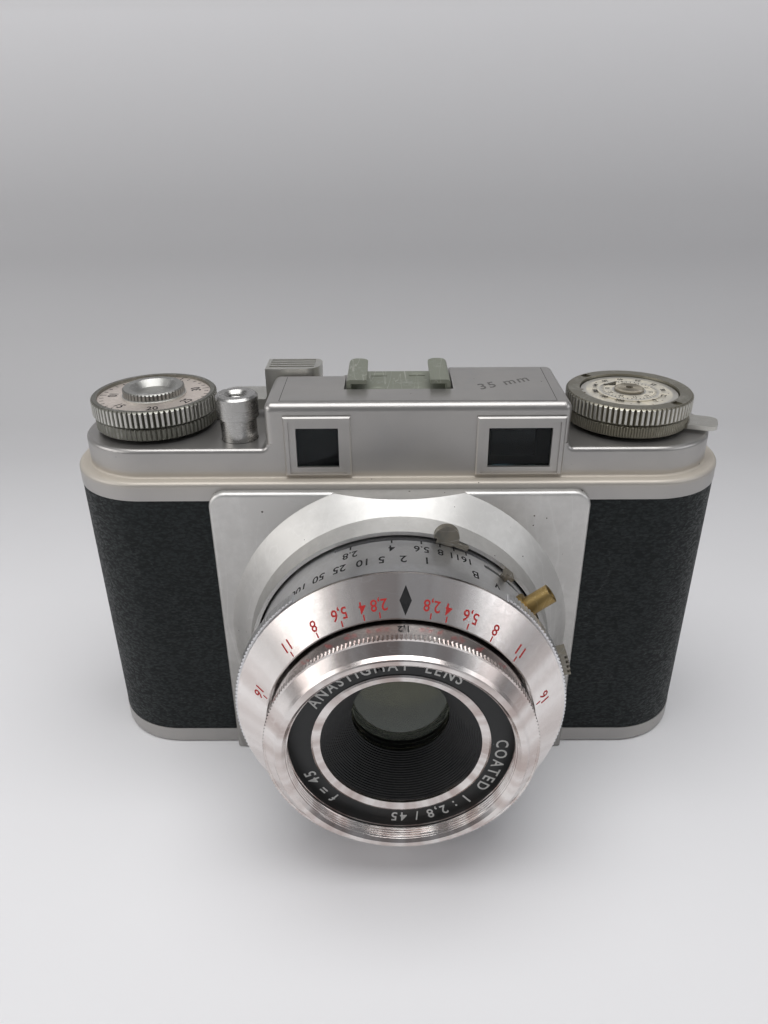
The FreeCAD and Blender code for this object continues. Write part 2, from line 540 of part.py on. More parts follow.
def counter_knob():
    """Knurled rim of the frame counter, recessed on top for the dial."""
    knob = knurled(WIND_X, 0, KNOB_BOTTOM, KNOB_TOP, KNOB_R, KNOB_TEETH, 0.42, 0.35)
    recess = cylinder(WIND_X, 0, KNOB_TOP - DIAL_DEPTH - 0.6, 90, COUNTER_R)
    return subtract(knob, [recess, cylinder(WIND_X, 0, 70, 90, SHAFT_R + RUN)])


def counter_dial():
    top = KNOB_TOP - DIAL_DEPTH
    return ring(WIND_X, 0, top - 0.58, top, COUNTER_R - 0.04, SHAFT_R + RUN)


def counter_hub():
    """Knurled centre of the counter, dished on top."""
    low = KNOB_TOP - DIAL_DEPTH + 0.02
    hub = knurled(WIND_X, 0, low, HUB_TOP, HUB_R, 48, 0.28, 0.3)
    dish = Part.makeCone(3.4, 4.7, 1.3, V(WIND_X, 0, HUB_TOP - 1.25))
    foot_r = HUB_R + 0.25
    skirt = turned([(HUB_R - 1, low), (foot_r, low), (foot_r, low + 0.35), (HUB_R - 1, low + 0.9)], WIND_X)
    return subtract(union([hub, skirt]), [dish, cylinder(WIND_X, 0, 70, HUB_TOP - 1.3, SHAFT_R + RUN)])


def wind_shaft():
    return cylinder(WIND_X, 0, 1.3, HUB_TOP - 1.45, SHAFT_R)


def take_up_spool():
    """Slotted spool that the film winds onto."""
    core = ring(WIND_X, 0, 5.0, 61.5, 6.0, SHAFT_R + 0.02)
    ends = [ring(WIND_X, 0, z, z + 1.2, 8.6, SHAFT_R + 0.02) for z in (5.0, 60.3)]
    slot = box(WIND_X - 0.6, WIND_X + 0.6, 2.5, 8, 14, 51)
    return union([core] + ends).cut(slot)


def sprocket():
    """Two rows of eight teeth that pull the film by its perforations."""
    body = cylinder(SPROCKET_X, SPROCKET_Y, 4.2, 62.8, 3.2)
    shaft = cylinder(SPROCKET_X, SPROCKET_Y, 1.3, 65.2, SHAFT_R)
    parts = [body, shaft]
    for z in (LENS_Z - 14.1, LENS_Z + 14.1):
        parts.append(cylinder(SPROCKET_X, SPROCKET_Y, z - 2.2, z + 2.2, PERF_R))
        for i in range(8):
            tooth = Part.makeCone(0.85, 0.35, 1.3, V(SPROCKET_X + PERF_R - 0.2, SPROCKET_Y, z), V(1, 0, 0))
            tooth.rotate(V(SPROCKET_X, SPROCKET_Y, 0), V(0, 0, 1), 45 * i + 22.5)
            parts.append(tooth)
    return union(parts)


def release_button():
    """Shutter release with a threaded cable socket in its top."""
    r, s, x, y = RELEASE_CAP_R, RELEASE_SHANK_R, RELEASE_X, RELEASE_Y
    outline = [(0, 69.6), (1.3, 69.6), (1.3, 71.2), (s, 71.2), (s, RELEASE_STEP - 0.25)]
    outline += [(s - 0.2, RELEASE_STEP - 0.25), (s - 0.2, RELEASE_STEP), (r, RELEASE_STEP)]
    outline += [(r, RELEASE_TOP - 0.4), (r - 0.4, RELEASE_TOP), (0, RELEASE_TOP)]
    solid = turned(outline, x, y).fuse(cylinder(x, y, 66.4, 69.7, 1.3))
    dish = Part.makeCone(CABLE_R, CABLE_R + 0.7, 0.6, V(x, y, RELEASE_TOP - 0.6))
    return subtract(solid, [cylinder(x, y, RELEASE_TOP - 0.6 - CABLE_DEPTH, 90, CABLE_R), dish])


def release_spring():
    """Coil spring under the release button's shoulder."""
    wire_r, coil_r, low, high, turns = 0.22, 2.0, 65.55, 70.9, 5
    helix = Part.makeHelix((high - low) / turns, high - low, coil_r)
    section = Part.Wire(Part.makeCircle(wire_r, V(coil_r, 0, 0), V(0, 1, 0)))
    coil = Part.Wire(helix.Edges).makePipeShell([section], True, True)
    coil.translate(V(RELEASE_X, RELEASE_Y, low))
    return coil


# ------------------------------------------------------------------ rewind side
def rewind_release():
    """Knurled ring under the rewind knob with a tab that unlocks the back."""
    hub = knurled(REWIND_X, 0, LOWER_KNOB_BOTTOM, LOWER_KNOB_TOP, LOWER_KNOB_R, FINE_TEETH, 0.2, 0.25)
    low, top, reach = LOWER_KNOB_BOTTOM, LOWER_KNOB_BOTTOM + 0.9, 17.7
    tab = box(REWIND_X + 6, REWIND_X + reach, -3.0, 3.0, low, top)
    tab = tab.makeFillet(1.9, [e for e in upright_edges(tab) if e.BoundBox.XMin > REWIND_X + 10])
    tab.rotate(V(REWIND_X, 0, 0), V(0, 0, 1), -19)
    return union([hub, tab]).cut(cylinder(REWIND_X, 0, 70, 80, SHAFT_R + RUN))


def rewind_knob():
    """Knurled knob with two notches in its rim and a recess for the film dial."""
    knob = knurled(REWIND_X, 0, KNOB_BOTTOM, KNOB_TOP, KNOB_R, KNOB_TEETH, 0.42, 0.35)
    recess = cylinder(REWIND_X, 0, KNOB_TOP - 1.2, 90, FILM_DIAL_R)
    cuts = [recess, cylinder(REWIND_X, 0, 70, 90, SHAFT_R + 0.02)]
    for angle in (-52, 128):
        notch = box(REWIND_X + 10.2, REWIND_X + 11.9, -0.9, 0.9, KNOB_TOP - 0.5, 90)
        notch.rotate(V(REWIND_X, 0, 0), V(0, 0, 1), angle)
        cuts.append(notch)
    return subtract(knob, cuts)


def film_dial():
    """Reminder disc in the top of the rewind knob, turned by hand."""
    low = KNOB_TOP - 1.15
    disc = ring(REWIND_X, 0, low, low + 0.6, FILM_DIAL_R - 0.25, SHAFT_R + 0.1)
    step = ring(REWIND_X, 0, low + 0.6, low + 0.85, 6.4, SHAFT_R + 0.1)
    corners = []
    for radius, angle in ((3.6, 122), (6.0, 100), (6.0, 150), (3.6, 122)):
        a = math.radians(angle)
        corners.append(V(REWIND_X + radius * math.cos(a), radius * math.sin(a), 70))
    window = Part.Face(Part.makePolygon(corners)).extrude(V(0, 0, 20))
    return union([disc, step]).cut(window)


def rewind_shaft():
    """Shaft with a screwed head on top and the fork that turns the cassette."""
    fork_low = 57.4
    low, high = KNOB_TOP - 0.25, KNOB_TOP + 0.35
    head = turned([(0, low), (2.9, low), (2.9, high - 0.2), (2.5, high), (0, high)], REWIND_X)
    rod = cylinder(REWIND_X, 0, fork_low + 3, KNOB_TOP, SHAFT_R)
    boss = cylinder(REWIND_X, 0, fork_low + 2.4, 62.9, 3.4)
    blade = box(REWIND_X - 3.2, REWIND_X + 3.2, -0.6, 0.6, fork_low, fork_low + 3)
    gap = box(REWIND_X - 1.1, REWIND_X + 1.1, -2, 2, fork_low - 1, fork_low + 2)
    hole = cylinder(REWIND_X, 0, KNOB_TOP - 0.1, 90, 0.7)
    flat = box(REWIND_X - 3, REWIND_X + 3, 1.5, 4, 63, 72)
    return subtract(union([head, rod, boss, blade]), [gap, hole, flat])


def rewind_washer():
    """Friction washer under the cover, keyed to the shaft's flat."""
    top = DECK - SHEET - 0.2
    disc = cylinder(REWIND_X, 0, top - 1.0, top, 5.5)
    bore = cylinder(REWIND_X, 0, top - 2, top + 1, SHAFT_R + RUN)
    return disc.cut(bore.cut(box(REWIND_X - 3, REWIND_X + 3, 1.6, 4, top - 2, top + 1)))


# ------------------------------------------------------------------ shutter and lens
def shutter_housing():
    """Barrel with slots for the aperture, timer and flash contact levers."""
    back, floor = 0.2, 1.6
    outline = [(back, 15.5), (back, BARREL_R), (BARREL_FRONT, BARREL_R), (BARREL_FRONT, BARREL_BORE_R),
               (floor, BARREL_BORE_R), (floor, 15.5)]
    barrel = lens_turned(outline)
    neck = lens_turned([(-4.6, 14.2), (-4.6, 16.6), (back, 16.6), (floor, 16.6), (floor, 14.2)])
    slots = [clock_sector(*LEVER_SLOTS[name][:2], BARREL_R + 1, BARREL_BORE_R - 1, *LEVER_SLOTS[name][2:])
             for name in LEVER_SLOTS]
    socket_hole = flash_cylinder(BARREL_BORE_R - 2, BARREL_R + 2, 1.3)
    return subtract(union([barrel, neck]), slots + [socket_hole])


LEVER_SLOTS = {  # back station, front station, start angle, end angle
    "aperture": (11.55, 12.45, -25.0, 35.0),
    "sync": (13.55, 14.45, 33.0, 52.0),
    "timer": (19.75, 20.85, 69.0, 132.0),
}
FLASH_ANGLE, FLASH_STATION, FLASH_R = 52.5, 18.4, 1.75


def flash_cylinder(r0, r1, radius):
    """A cylinder along the flash socket's axis, out from the lens axis."""
    start = clock_point(FLASH_ANGLE, r0, FLASH_STATION)
    a = math.radians(FLASH_ANGLE)
    return Part.makeCylinder(radius, r1 - r0, start, V(math.sin(a), 0, math.cos(a)))


def flash_socket():
    """Coaxial flash socket: an outer barrel, and a pin held in its middle."""
    base = flash_cylinder(28.32, 29.2, 2.7)
    barrel = union([base, flash_cylinder(28.9, 33.9, FLASH_R)]).cut(flash_cylinder(29.9, 40, 1.25))
    pin = flash_cylinder(29.7, 32.6, 0.5)
    return union([barrel, pin])


def lever_with_slot(name, angle, half_width, reach, tab):
    """A ring sector inside the barrel with an arm out through its slot, and a finger tab."""
    back, front, start, end = LEVER_SLOTS[name]
    low, high = back + 0.15, front - 0.15
    inner = clock_sector(low, high, BARREL_BORE_R - 0.4, BARREL_BORE_R - 3.4, angle - 14, angle + 14)
    arm = clock_sector(low, high, reach, BARREL_BORE_R - 1.5, angle - half_width, angle + half_width)
    return union([inner, arm] + tab)


APERTURE_ANGLE, SYNC_ANGLE, TIMER_ANGLE = 16.5, 42.0, 75.0


def aperture_ring():
    """Full inner ring with the knurled finger tab and a pointer over the scale."""
    back, front = LEVER_SLOTS["aperture"][:2]
    low, high = back + 0.15, front - 0.15
    band = lens_disc(low, high, BARREL_BORE_R - 0.4, 20.0)
    arm = clock_sector(low, high, 30.6, BARREL_BORE_R - 1.5, APERTURE_ANGLE - 3, APERTURE_ANGLE + 3)
    root = clock_point(APERTURE_ANGLE, 29.9, 11.9)
    cap = Part.makeCylinder(2.3, 1.5, V(root.x, -HALF_DEPTH - 12.75, root.z), V(0, 1, 0))
    cap = cap.cut(lens_disc(10, 14, 29.45))
    pointer = clock_sector(low, high, 29.3, 28.45, APERTURE_ANGLE + 2, APERTURE_ANGLE + 9)
    return union([band, arm, cap, pointer])


def sync_lever():
    tab = clock_sector(13.2, 15.6, 30.0, 29.2, SYNC_ANGLE - 1.8, SYNC_ANGLE + 1.8)
    return lever_with_slot("sync", SYNC_ANGLE, 1.5, 29.5, [tab])


def timer_lever():
    """Self-timer lever with a ribbed grip outside the speed ring."""
    back, front, start = 19.6, 22.4, TIMER_ANGLE - 4
    ribs = [clock_sector(back, front, 31.7, 29.2, start + 2 * i, start + 2 * i + 0.9) for i in range(5)]
    grip = clock_sector(back, front, 31.1, 28.8, start, start + 8.9)
    return lever_with_slot("timer", TIMER_ANGLE, 2.2, 29.5, [grip] + ribs)


def speed_ring():
    """Ring that sets the shutter speed: knurled at the sides, smooth over the scale."""
    teeth = lens_knurled(SPEED_BACK, SPEED_FRONT, SPEED_R, 220, 0.28)
    smooth = lens_disc(SPEED_BACK, SPEED_FRONT, SPEED_R - 0.55)
    over_scale = clock_sector(SPEED_BACK - 1, SPEED_FRONT + 1, 40, 1, -38, 38)
    ring_solid = teeth.cut(over_scale).fuse(smooth)
    return ring_solid.cut(lens_disc(SPEED_BACK - 1, SPEED_FRONT + 1, SOCKET_R + 0.15))


def depth_scale_ring():
    """Polished cone with the depth-of-field scale, fixed to the shutter."""
    outline = [(SCALE_BACK, SOCKET_R + 0.02), (SCALE_BACK, SCALE_R), (SCALE_BACK + 0.5, SCALE_R),
               (SCALE_FRONT, SCALE_BORE + 0.25), (SCALE_FRONT, SCALE_BORE), (SCALE_BACK + 1.2, SCALE_BORE),
               (SCALE_BACK + 1.2, SOCKET_R + 0.02)]
    return lens_turned(outline)


def lens_socket():
    """Front plate of the shutter with its threaded tube and the blades' pivot pins."""
    outline = [(19.0, 9.7), (19.0, BARREL_BORE_R - 0.03), (19.7, BARREL_BORE_R - 0.03), (19.7, SOCKET_R),
               (SOCKET_FRONT, SOCKET_R), (SOCKET_FRONT, SOCKET_BORE), (20.6, SOCKET_BORE), (20.6, 9.7)]
    pins = []
    for i in range(SHUTTER_BLADES):
        pivot = clock_point(360.0 / SHUTTER_BLADES * i, SHUTTER_PIVOT_R, 19.1)
        pins.append(Part.makeCylinder(PIN_R, 4.1, pivot, V(0, 1, 0)))
    return union([lens_turned(outline)] + pins)


def rear_cell():
    """Rear lens cell with the iris plate and the iris blades' pivot pins."""
    outline = [(-3.0, 8.25), (-3.0, 10.2), (12.5, 10.2), (12.5, 15.2), (12.8, 15.2), (12.8, 8.25)]
    foot = lens_turned([(1.65, 10.0), (1.65, 14.1), (3.0, 14.1), (3.0, 10.0)])
    pins = []
    for i in range(IRIS_BLADES):
        pivot = clock_point(360.0 / IRIS_BLADES * i, IRIS_PIVOT_R, 14.6)
        pins.append(Part.makeCylinder(PIN_R, 1.9, pivot, V(0, 1, 0)))
    return union([lens_turned(outline), foot] + pins)


def blade(count, index, open_r, band, pivot_r, span, station, closed_deg):
    """A crescent on its pivot ear, swung inwards by closed_deg from fully open."""
    back = station + BLADE_PITCH * index
    front = back + BLADE_THICK
    crescent = clock_sector(back, front, open_r + band, open_r, 4, span)
    pivot = clock_point(0, pivot_r, front)
    ear = Part.makeCylinder(1.25, BLADE_THICK, pivot, V(0, 1, 0))
    web = clock_sector(back, front, pivot_r + 0.9, open_r + 0.6, -3, 14)
    hole = Part.makeCylinder(PIN_R + RUN, 9, V(pivot.x, pivot.y - 4, pivot.z), V(0, 1, 0))
    whole = union([crescent, ear, web]).cut(hole)
    whole = clock_turn(whole, closed_deg, V(pivot.x, 0, pivot.z))
    return clock_turn(whole, 360.0 / count * index)


def iris_blade(index):
    return blade(IRIS_BLADES, index, IRIS_OPEN_R, IRIS_BAND, IRIS_PIVOT_R, 128, IRIS_STATION, IRIS_REST_DEG)


def shutter_blade(index):
    return blade(SHUTTER_BLADES, index, SHUTTER_OPEN_R, SHUTTER_BAND, SHUTTER_PIVOT_R, 150,
                 SHUTTER_STATION, SHUTTER_SWING_DEG)


def lens_glass(back, front, radius, back_bulge, front_bulge):
    """A lens with spherical faces; a positive bulge is convex."""
    y_back, y_front = -HALF_DEPTH - back, -HALF_DEPTH - front
    def face_arc(y, bulge):
        return Part.Arc(V(-radius, y, LENS_Z), V(0, y + bulge, LENS_Z), V(radius, y, LENS_Z)).toShape()
    half = box(0, 50, -80, 40, LENS_Z - 1, LENS_Z + 1)
    edges = [face_arc(y_back, back_bulge), face_arc(y_front, -front_bulge)]
    edges += [Part.makeLine(V(s * radius, y_back, LENS_Z), V(s * radius, y_front, LENS_Z)) for s in (-1, 1)]
    face = Part.Face(Part.Wire(Part.__sortEdges__(edges))).common(half)
    return face.revolve(V(0, 0, LENS_Z), V(0, 1, 0), 360)


def rear_glass():
    return lens_glass(4.5, 7.5, 8.2, 1.1, 0.5)


def middle_glass():
    """Concave middle element in a thin cell, fixed in the lens socket."""
    return lens_glass(18.3, 20.2, 9.6, -0.5, -0.6)


def front_glass():
    return lens_glass(24.2, 26.4, GLASS_R - 0.05, 0.2, 1.5)


def focus_follower():
    """Sleeve that slides with the front cell and drives the rangefinder, held from turning."""
    return lens_turned([(22.4, 16.15), (22.4, 17.9), (27.6, 17.9), (27.6, 16.15)])


def focus_ring():
    """Focusing ring: smooth scale band, fine knurl, polished cone and filter seat."""
    teeth = lens_knurled(FOCUS_KNURL, FOCUS_KNURL + 1.3, FOCUS_R + 0.35, 200, 0.22)
    outline = [(FOCUS_BACK, 21.0), (FOCUS_BACK, FOCUS_R), (FOCUS_KNURL + 1.3, FOCUS_R - 0.05),
               (FOCUS_RIM - 0.7, FOCUS_RIM_R + 0.5), (FOCUS_RIM - 0.1, FOCUS_RIM_R + 0.1),
               (FOCUS_RIM, FOCUS_RIM_R - 0.2), (FOCUS_RIM, FILTER_R + 0.5), (FOCUS_RIM - 0.5, FILTER_R),
               (34.6, FILTER_R), (34.6, NAME_OUTER + 0.23), (33.7, NAME_OUTER + 0.23), (33.7, 15.6),
               (32.4, 15.6), (32.4, 21.0)]
    body = lens_turned(outline)
    knurl = teeth.cut(lens_disc(FOCUS_KNURL - 1, FOCUS_KNURL + 3, FOCUS_R - 1.5))
    return union([body, knurl])


def name_ring():
    inner, outer = NAME_INNER + 0.03, NAME_OUTER + 0.2
    return lens_turned([(33.75, inner), (33.75, outer), (NAME_FACE, outer), (NAME_FACE, inner)])


def front_retainer():
    return lens_turned([(33.75, RETAINER_INNER + 0.03), (33.75, NAME_INNER), (NAME_FACE + 0.15, NAME_INNER),
                        (NAME_FACE + 0.3, NAME_INNER - 0.35), (NAME_FACE - 0.1, RETAINER_INNER + 0.03)])


def front_cell():
    """Front lens cell: threaded barrel outside, ribbed black funnel inside."""
    back_r = GLASS_R - 0.25
    outline = []
    for rib in range(FUNNEL_RIBS):
        share, following = rib / FUNNEL_RIBS, (rib + 1) / FUNNEL_RIBS
        step_front = FUNNEL_BACK + (FUNNEL_FRONT - FUNNEL_BACK) * following
        step_back = FUNNEL_BACK + (FUNNEL_FRONT - FUNNEL_BACK) * share
        radius = back_r + (RETAINER_INNER - back_r) * share
        outline += [(step_back, radius), (step_front - 0.08, radius + 0.02)]
    outline += [(FUNNEL_FRONT, RETAINER_INNER), (FUNNEL_FRONT, 15.5), (28.0, 15.95), (23.2, 15.95)]
    outline += [(23.2, 8.6), (24.1, 8.6), (24.1, GLASS_R), (FUNNEL_BACK, GLASS_R)]
    return lens_turned(outline)


SINGLE = {
    "body_casting": body_casting, "bottom_cover": bottom_cover, "tripod_bush": tripod_bush,
    "bottom_screws": bottom_screws, "top_cover": top_cover, "accessory_shoe": accessory_shoe,
    "shoe_screws": shoe_screws, "window_frames": window_frames, "finder_windows": finder_windows,
    "eyepiece_ring": eyepiece_ring, "eyepiece_glass": eyepiece_glass, "rangefinder_prisms": rangefinder_prisms,
    "leather_left": lambda: leather(6.3, -1), "leather_right": lambda: leather(DOOR_FRONT - 0.15, 1),
    "front_plate": front_plate, "back_door": back_door, "back_leather": back_leather, "hinge_pin": hinge_pin,
    "pressure_plate": pressure_plate, "pressure_spring": pressure_spring, "wind_lever": wind_lever,
    "counter_knob": counter_knob, "counter_dial": counter_dial, "counter_hub": counter_hub,
    "wind_shaft": wind_shaft, "take_up_spool": take_up_spool, "sprocket": sprocket,
    "release_button": release_button, "release_spring": release_spring, "rewind_release": rewind_release,
    "rewind_knob": rewind_knob, "film_dial": film_dial, "rewind_shaft": rewind_shaft,
    "rewind_washer": rewind_washer, "shutter_housing": shutter_housing, "flash_socket": flash_socket,
    "aperture_ring": aperture_ring, "sync_lever": sync_lever, "timer_lever": timer_lever,
    "speed_ring": speed_ring, "depth_scale_ring": depth_scale_ring, "lens_socket": lens_socket,
    "rear_cell": rear_cell, "rear_glass": rear_glass, "middle_glass": middle_glass, "front_glass": front_glass,
    "focus_follower": focus_follower, "focus_ring": focus_ring, "name_ring": name_ring,
    "front_retainer": front_retainer, "front_cell": front_cell,
}


def main():
    os.makedirs("parts", exist_ok=True)
    shapes = {name: make() for name, make in SINGLE.items()}
    for i in range(IRIS_BLADES):
        shapes[f"iris_blade_{i + 1}"] = iris_blade(i)
    for i in range(SHUTTER_BLADES):
        shapes[f"shutter_blade_{i + 1}"] = shutter_blade(i)
    for name, shape in shapes.items():
        solids = shape.Solids
        valid = all(s.isValid() and s.Volume > 0 for s in solids)
        print(f"{name:20s} solids {len(solids)} volume {shape.Volume:10.2f} valid {valid}")
        whole = solids[0] if len(solids) == 1 else Part.Compound(solids)
        whole.exportStep(f"parts/{name}.step")
    print(len(shapes), "nodes")


main()
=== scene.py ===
# %% [markdown]
# # A 35 mm rangefinder camera
# The metal, glass and leather parts come in ready made, each one a named node that moves with its own body.
# This notebook gives every part its finish, and adds what is engraved, painted or cut too finely for the solid
# model: scales, numerals, screw threads, the sheen of a coated lens. All lengths are written in millimetres.

# %% Load the camera
import math
from functools import partial
import bpy
import numpy as np
from mathutils import Matrix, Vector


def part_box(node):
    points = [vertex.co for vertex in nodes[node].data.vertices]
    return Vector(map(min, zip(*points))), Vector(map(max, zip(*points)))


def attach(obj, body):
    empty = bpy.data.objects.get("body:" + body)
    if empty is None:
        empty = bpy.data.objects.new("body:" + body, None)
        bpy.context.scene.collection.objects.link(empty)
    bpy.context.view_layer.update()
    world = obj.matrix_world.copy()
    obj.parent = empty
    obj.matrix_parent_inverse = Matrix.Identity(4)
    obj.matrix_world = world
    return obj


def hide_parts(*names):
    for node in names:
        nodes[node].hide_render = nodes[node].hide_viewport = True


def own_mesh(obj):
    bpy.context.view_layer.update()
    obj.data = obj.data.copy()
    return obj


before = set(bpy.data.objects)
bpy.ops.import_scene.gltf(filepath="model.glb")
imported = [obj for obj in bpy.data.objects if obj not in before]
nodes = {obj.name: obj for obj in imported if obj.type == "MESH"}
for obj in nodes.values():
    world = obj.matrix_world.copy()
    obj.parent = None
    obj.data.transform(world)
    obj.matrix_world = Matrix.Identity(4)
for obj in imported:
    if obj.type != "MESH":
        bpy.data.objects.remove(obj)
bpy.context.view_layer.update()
MM = 0.001

# %% [markdown]
# Places are worked out from the parts themselves. The lens turns about a line that runs front to back, so a point
# on it is given by its depth, its radius and a clock angle from twelve o'clock, seen from the front. The two knobs
# turn about upright lines.

# %% Axes and levels
def low(node):
    return np.array(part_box(node)[0]) / MM


def high(node):
    return np.array(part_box(node)[1]) / MM


def middle(node):
    return (low(node) + high(node)) / 2


def half_width(node):
    return (high(node) - low(node))[0] / 2


LENS = middle("depth_scale_ring")
COUNTER = middle("counter_dial")
FILM_DIAL = middle("film_dial")
BARREL_R = half_width("shutter_housing")
BARREL_FRONT_Y = low("shutter_housing")[1]
SCALE_FRONT_Y = low("depth_scale_ring")[1]
SCALE_R = half_width("depth_scale_ring")
NAME_Y = low("name_ring")[1]
print("lens axis at x", round(LENS[0], 2), "z", round(LENS[2], 2), "barrel radius", round(BARREL_R, 2))


# %% [markdown]
# ## Camera, backdrop and light
# A small object is often shot in a tent of white cloth, on a sheet that curves up behind it without an edge. The
# sheet here is one profile, a floor that bends into a wall, carried sideways. Large soft lamps stand where the
# tent's bright panels were, because polished metal shows nothing but what is around it.

# %% Camera
def aim(target, right, top, back, at):
    """Lays an object's own three axes along three directions, and moves it to a point in millimetres."""
    turned = np.array([right, top, back]).T
    target.matrix_world = Matrix([[*row, p * MM] for row, p in zip(turned, at)] + [[0, 0, 0, 1]])


EYE = np.array([-1.4, -151.4, 130.8])
YAW, PITCH, ROLL = (math.radians(a) for a in (-0.66, 27.76, -0.56))
ahead = np.array([math.sin(YAW) * math.cos(PITCH), math.cos(YAW) * math.cos(PITCH), -math.sin(PITCH)])
level = np.cross(ahead, (0, 0, 1))
level /= np.linalg.norm(level)
above = np.cross(level, ahead)
side = math.cos(ROLL) * level + math.sin(ROLL) * above
up = math.cos(ROLL) * above - math.sin(ROLL) * level
camera = bpy.data.objects.new("camera", bpy.data.cameras.new("camera"))
bpy.context.scene.collection.objects.link(camera)
aim(camera, side, up, -ahead, EYE)
camera.data.lens = 27.33
camera.data.sensor_width = 36.0
camera.data.clip_start = 0.01
camera.data.dof.use_dof = False
bpy.context.scene.camera = camera
print("camera", EYE, "mm, lens", camera.data.lens)


# %% Meshes from grids
def mesh_object(name, points, faces, smooth=True):
    """A new object whose corners are points, in millimetres, and whose faces list corner numbers."""
    mesh = bpy.data.meshes.new(name)
    mesh.from_pydata((np.asarray(points, float) * MM).tolist(), [], [tuple(int(v) for v in face) for face in faces])
    mesh.polygons.foreach_set("use_smooth", np.full(len(mesh.polygons), smooth))
    mesh.update()
    made = bpy.data.objects.new(name, mesh)
    bpy.context.scene.collection.objects.link(made)
    return made


def grid_faces(rows, columns, wrap=False):
    """Squares between neighbours of a rows x columns grid of corners; wrap joins the last column to the first."""
    r, c = np.meshgrid(np.arange(rows - 1), np.arange(columns if wrap else columns - 1), indexing="ij")
    d = (c + 1) % columns
    here, after = r * columns + c, r * columns + d
    return np.stack([here, after, after + columns, here + columns], -1).reshape(-1, 4)


# %% Backdrop
WALL_Y, BEND_R, SHEET_REACH = 150.0, 70.0, 900.0
FLOOR_REACH, FLOOR_Z = 1500, -0.3


def sweep_profile(count=24):
    """Depth and height along the sheet: flat, then a quarter circle of radius BEND_R, then straight up."""
    turn = np.linspace(0, math.pi / 2, count)
    depth = np.concatenate([[-SHEET_REACH], WALL_Y + BEND_R * np.sin(turn), [WALL_Y + BEND_R]])
    height = np.concatenate([[0.0], BEND_R * (1 - np.cos(turn)), [SHEET_REACH]])
    return depth, height


depth, height = sweep_profile()
across = np.array([SHEET_REACH, -SHEET_REACH])
sheet_points = np.stack(np.broadcast_arrays(across[None, :], depth[:, None], height[:, None]), -1).reshape(-1, 3)
backdrop = mesh_object("backdrop", sheet_points, grid_faces(len(depth), 2)[:, ::-1])
floor_points = [(FLOOR_REACH * x, FLOOR_REACH * y, FLOOR_Z) for x, y in ((-1, -1), (1, -1), (1, 1), (-1, 1))]
floor = mesh_object("floor", floor_points, [(0, 1, 2, 3)])
print("backdrop", len(backdrop.data.polygons), "faces, and a floor under and behind it")


# %% Lamps
def soft_lamp(name, at, target, width, length, watts, colour=(1.0, 1.0, 1.0)):
    """A rectangular lamp at a point, facing another point, both in millimetres."""
    data = bpy.data.lights.new(name, "AREA")
    data.shape = "RECTANGLE"
    data.size, data.size_y = width * MM, length * MM
    data.energy, data.color = watts, colour
    lamp = bpy.data.objects.new(name, data)
    bpy.context.scene.collection.objects.link(lamp)
    back = np.array(at, float) - np.array(target, float)
    back /= np.linalg.norm(back)
    right = np.cross((0.0, 1.0, 0.01), back)
    right /= np.linalg.norm(right)
    aim(lamp, right, np.cross(back, right), back, at)


soft_lamp("ceiling", (0, -60, 620), (0, 20, 0), 620, 460, 3.0)
soft_lamp("left_panel", (-480, -160, 260), (0, 0, 30), 300, 420, 0.8, (1.0, 0.985, 0.97))
soft_lamp("right_panel", (520, -200, 300), (0, 0, 30), 260, 380, 0.45, (0.97, 0.98, 1.0))
world = bpy.data.worlds.new("room")
bpy.context.scene.world = world
world.use_nodes = True
world.node_tree.nodes["Background"].inputs["Color"].default_value = (0.78, 0.79, 0.83, 1)
world.node_tree.nodes["Background"].inputs["Strength"].default_value = 0.24
bpy.context.scene.view_settings.view_transform = "Standard"
print("three lamps and a dim room")


# %% [markdown]
# ## Building materials from nodes
# Every finish is a short recipe of nodes. A few small helpers keep the recipes readable: the first adds a node and
# fills its sockets, by value or by linking another socket, and the others are its commonest uses.

# %% Node helpers
def add(tree, kind, values=(), **settings):
    """Adds a shader node, sets its properties, then fills its inputs: a socket is linked, anything else is set."""
    node = tree.nodes.new("ShaderNode" + kind)
    for key, value in settings.items():
        setattr(node, key, value)
    for key, value in dict(values).items():
        if isinstance(value, bpy.types.NodeSocket):
            tree.links.new(value, node.inputs[key])
        else:
            node.inputs[key].default_value = value
    return node


def calc(tree, operation, *values):
    return add(tree, "Math", dict(enumerate(values)), operation=operation).outputs[0]


def times(tree, value, factor, extra=None):
    """The value times the factor, plus the extra where there is one."""
    if extra is None:
        return calc(tree, "MULTIPLY", value, factor)
    return calc(tree, "MULTIPLY_ADD", value, factor, extra)


def vector(tree, operation, *values):
    return add(tree, "VectorMath", dict(enumerate(values)), operation=operation).outputs[0]


def object_place(tree):
    """Where a point lies in its own object's frame, in metres."""
    return add(tree, "TexCoord").outputs["Object"]


def blend(tree, share, first, second):
    """The first colour where share is 0 and the second where it is 1."""
    return add(tree, "Mix", {0: share, 6: first, 7: second}, data_type="RGBA").outputs[2]


def ramp(tree, value, *stops):
    """Maps a value through straight lines between (place, result) stops."""
    node = add(tree, "ValToRGB", {0: value})
    node.color_ramp.elements[0].position, node.color_ramp.elements[1].position = stops[0][0], stops[-1][0]
    for place, _ in stops[1:-1]:
        node.color_ramp.elements.new(place)
    for element, (_, result) in zip(node.color_ramp.elements, stops):
        element.color = (result, result, result, 1)
    return node.outputs[0]


def new_material(name, **sockets):
    """A material whose Principled shader has these constant sockets, named with underscores for spaces."""
    material = bpy.data.materials.new(name)
    material.use_nodes = True
    tree = material.node_tree
    shader = tree.nodes["Principled BSDF"]
    for key, value in sockets.items():
        shader.inputs[key.replace("_", " ")].default_value = value
    return material, tree, shader


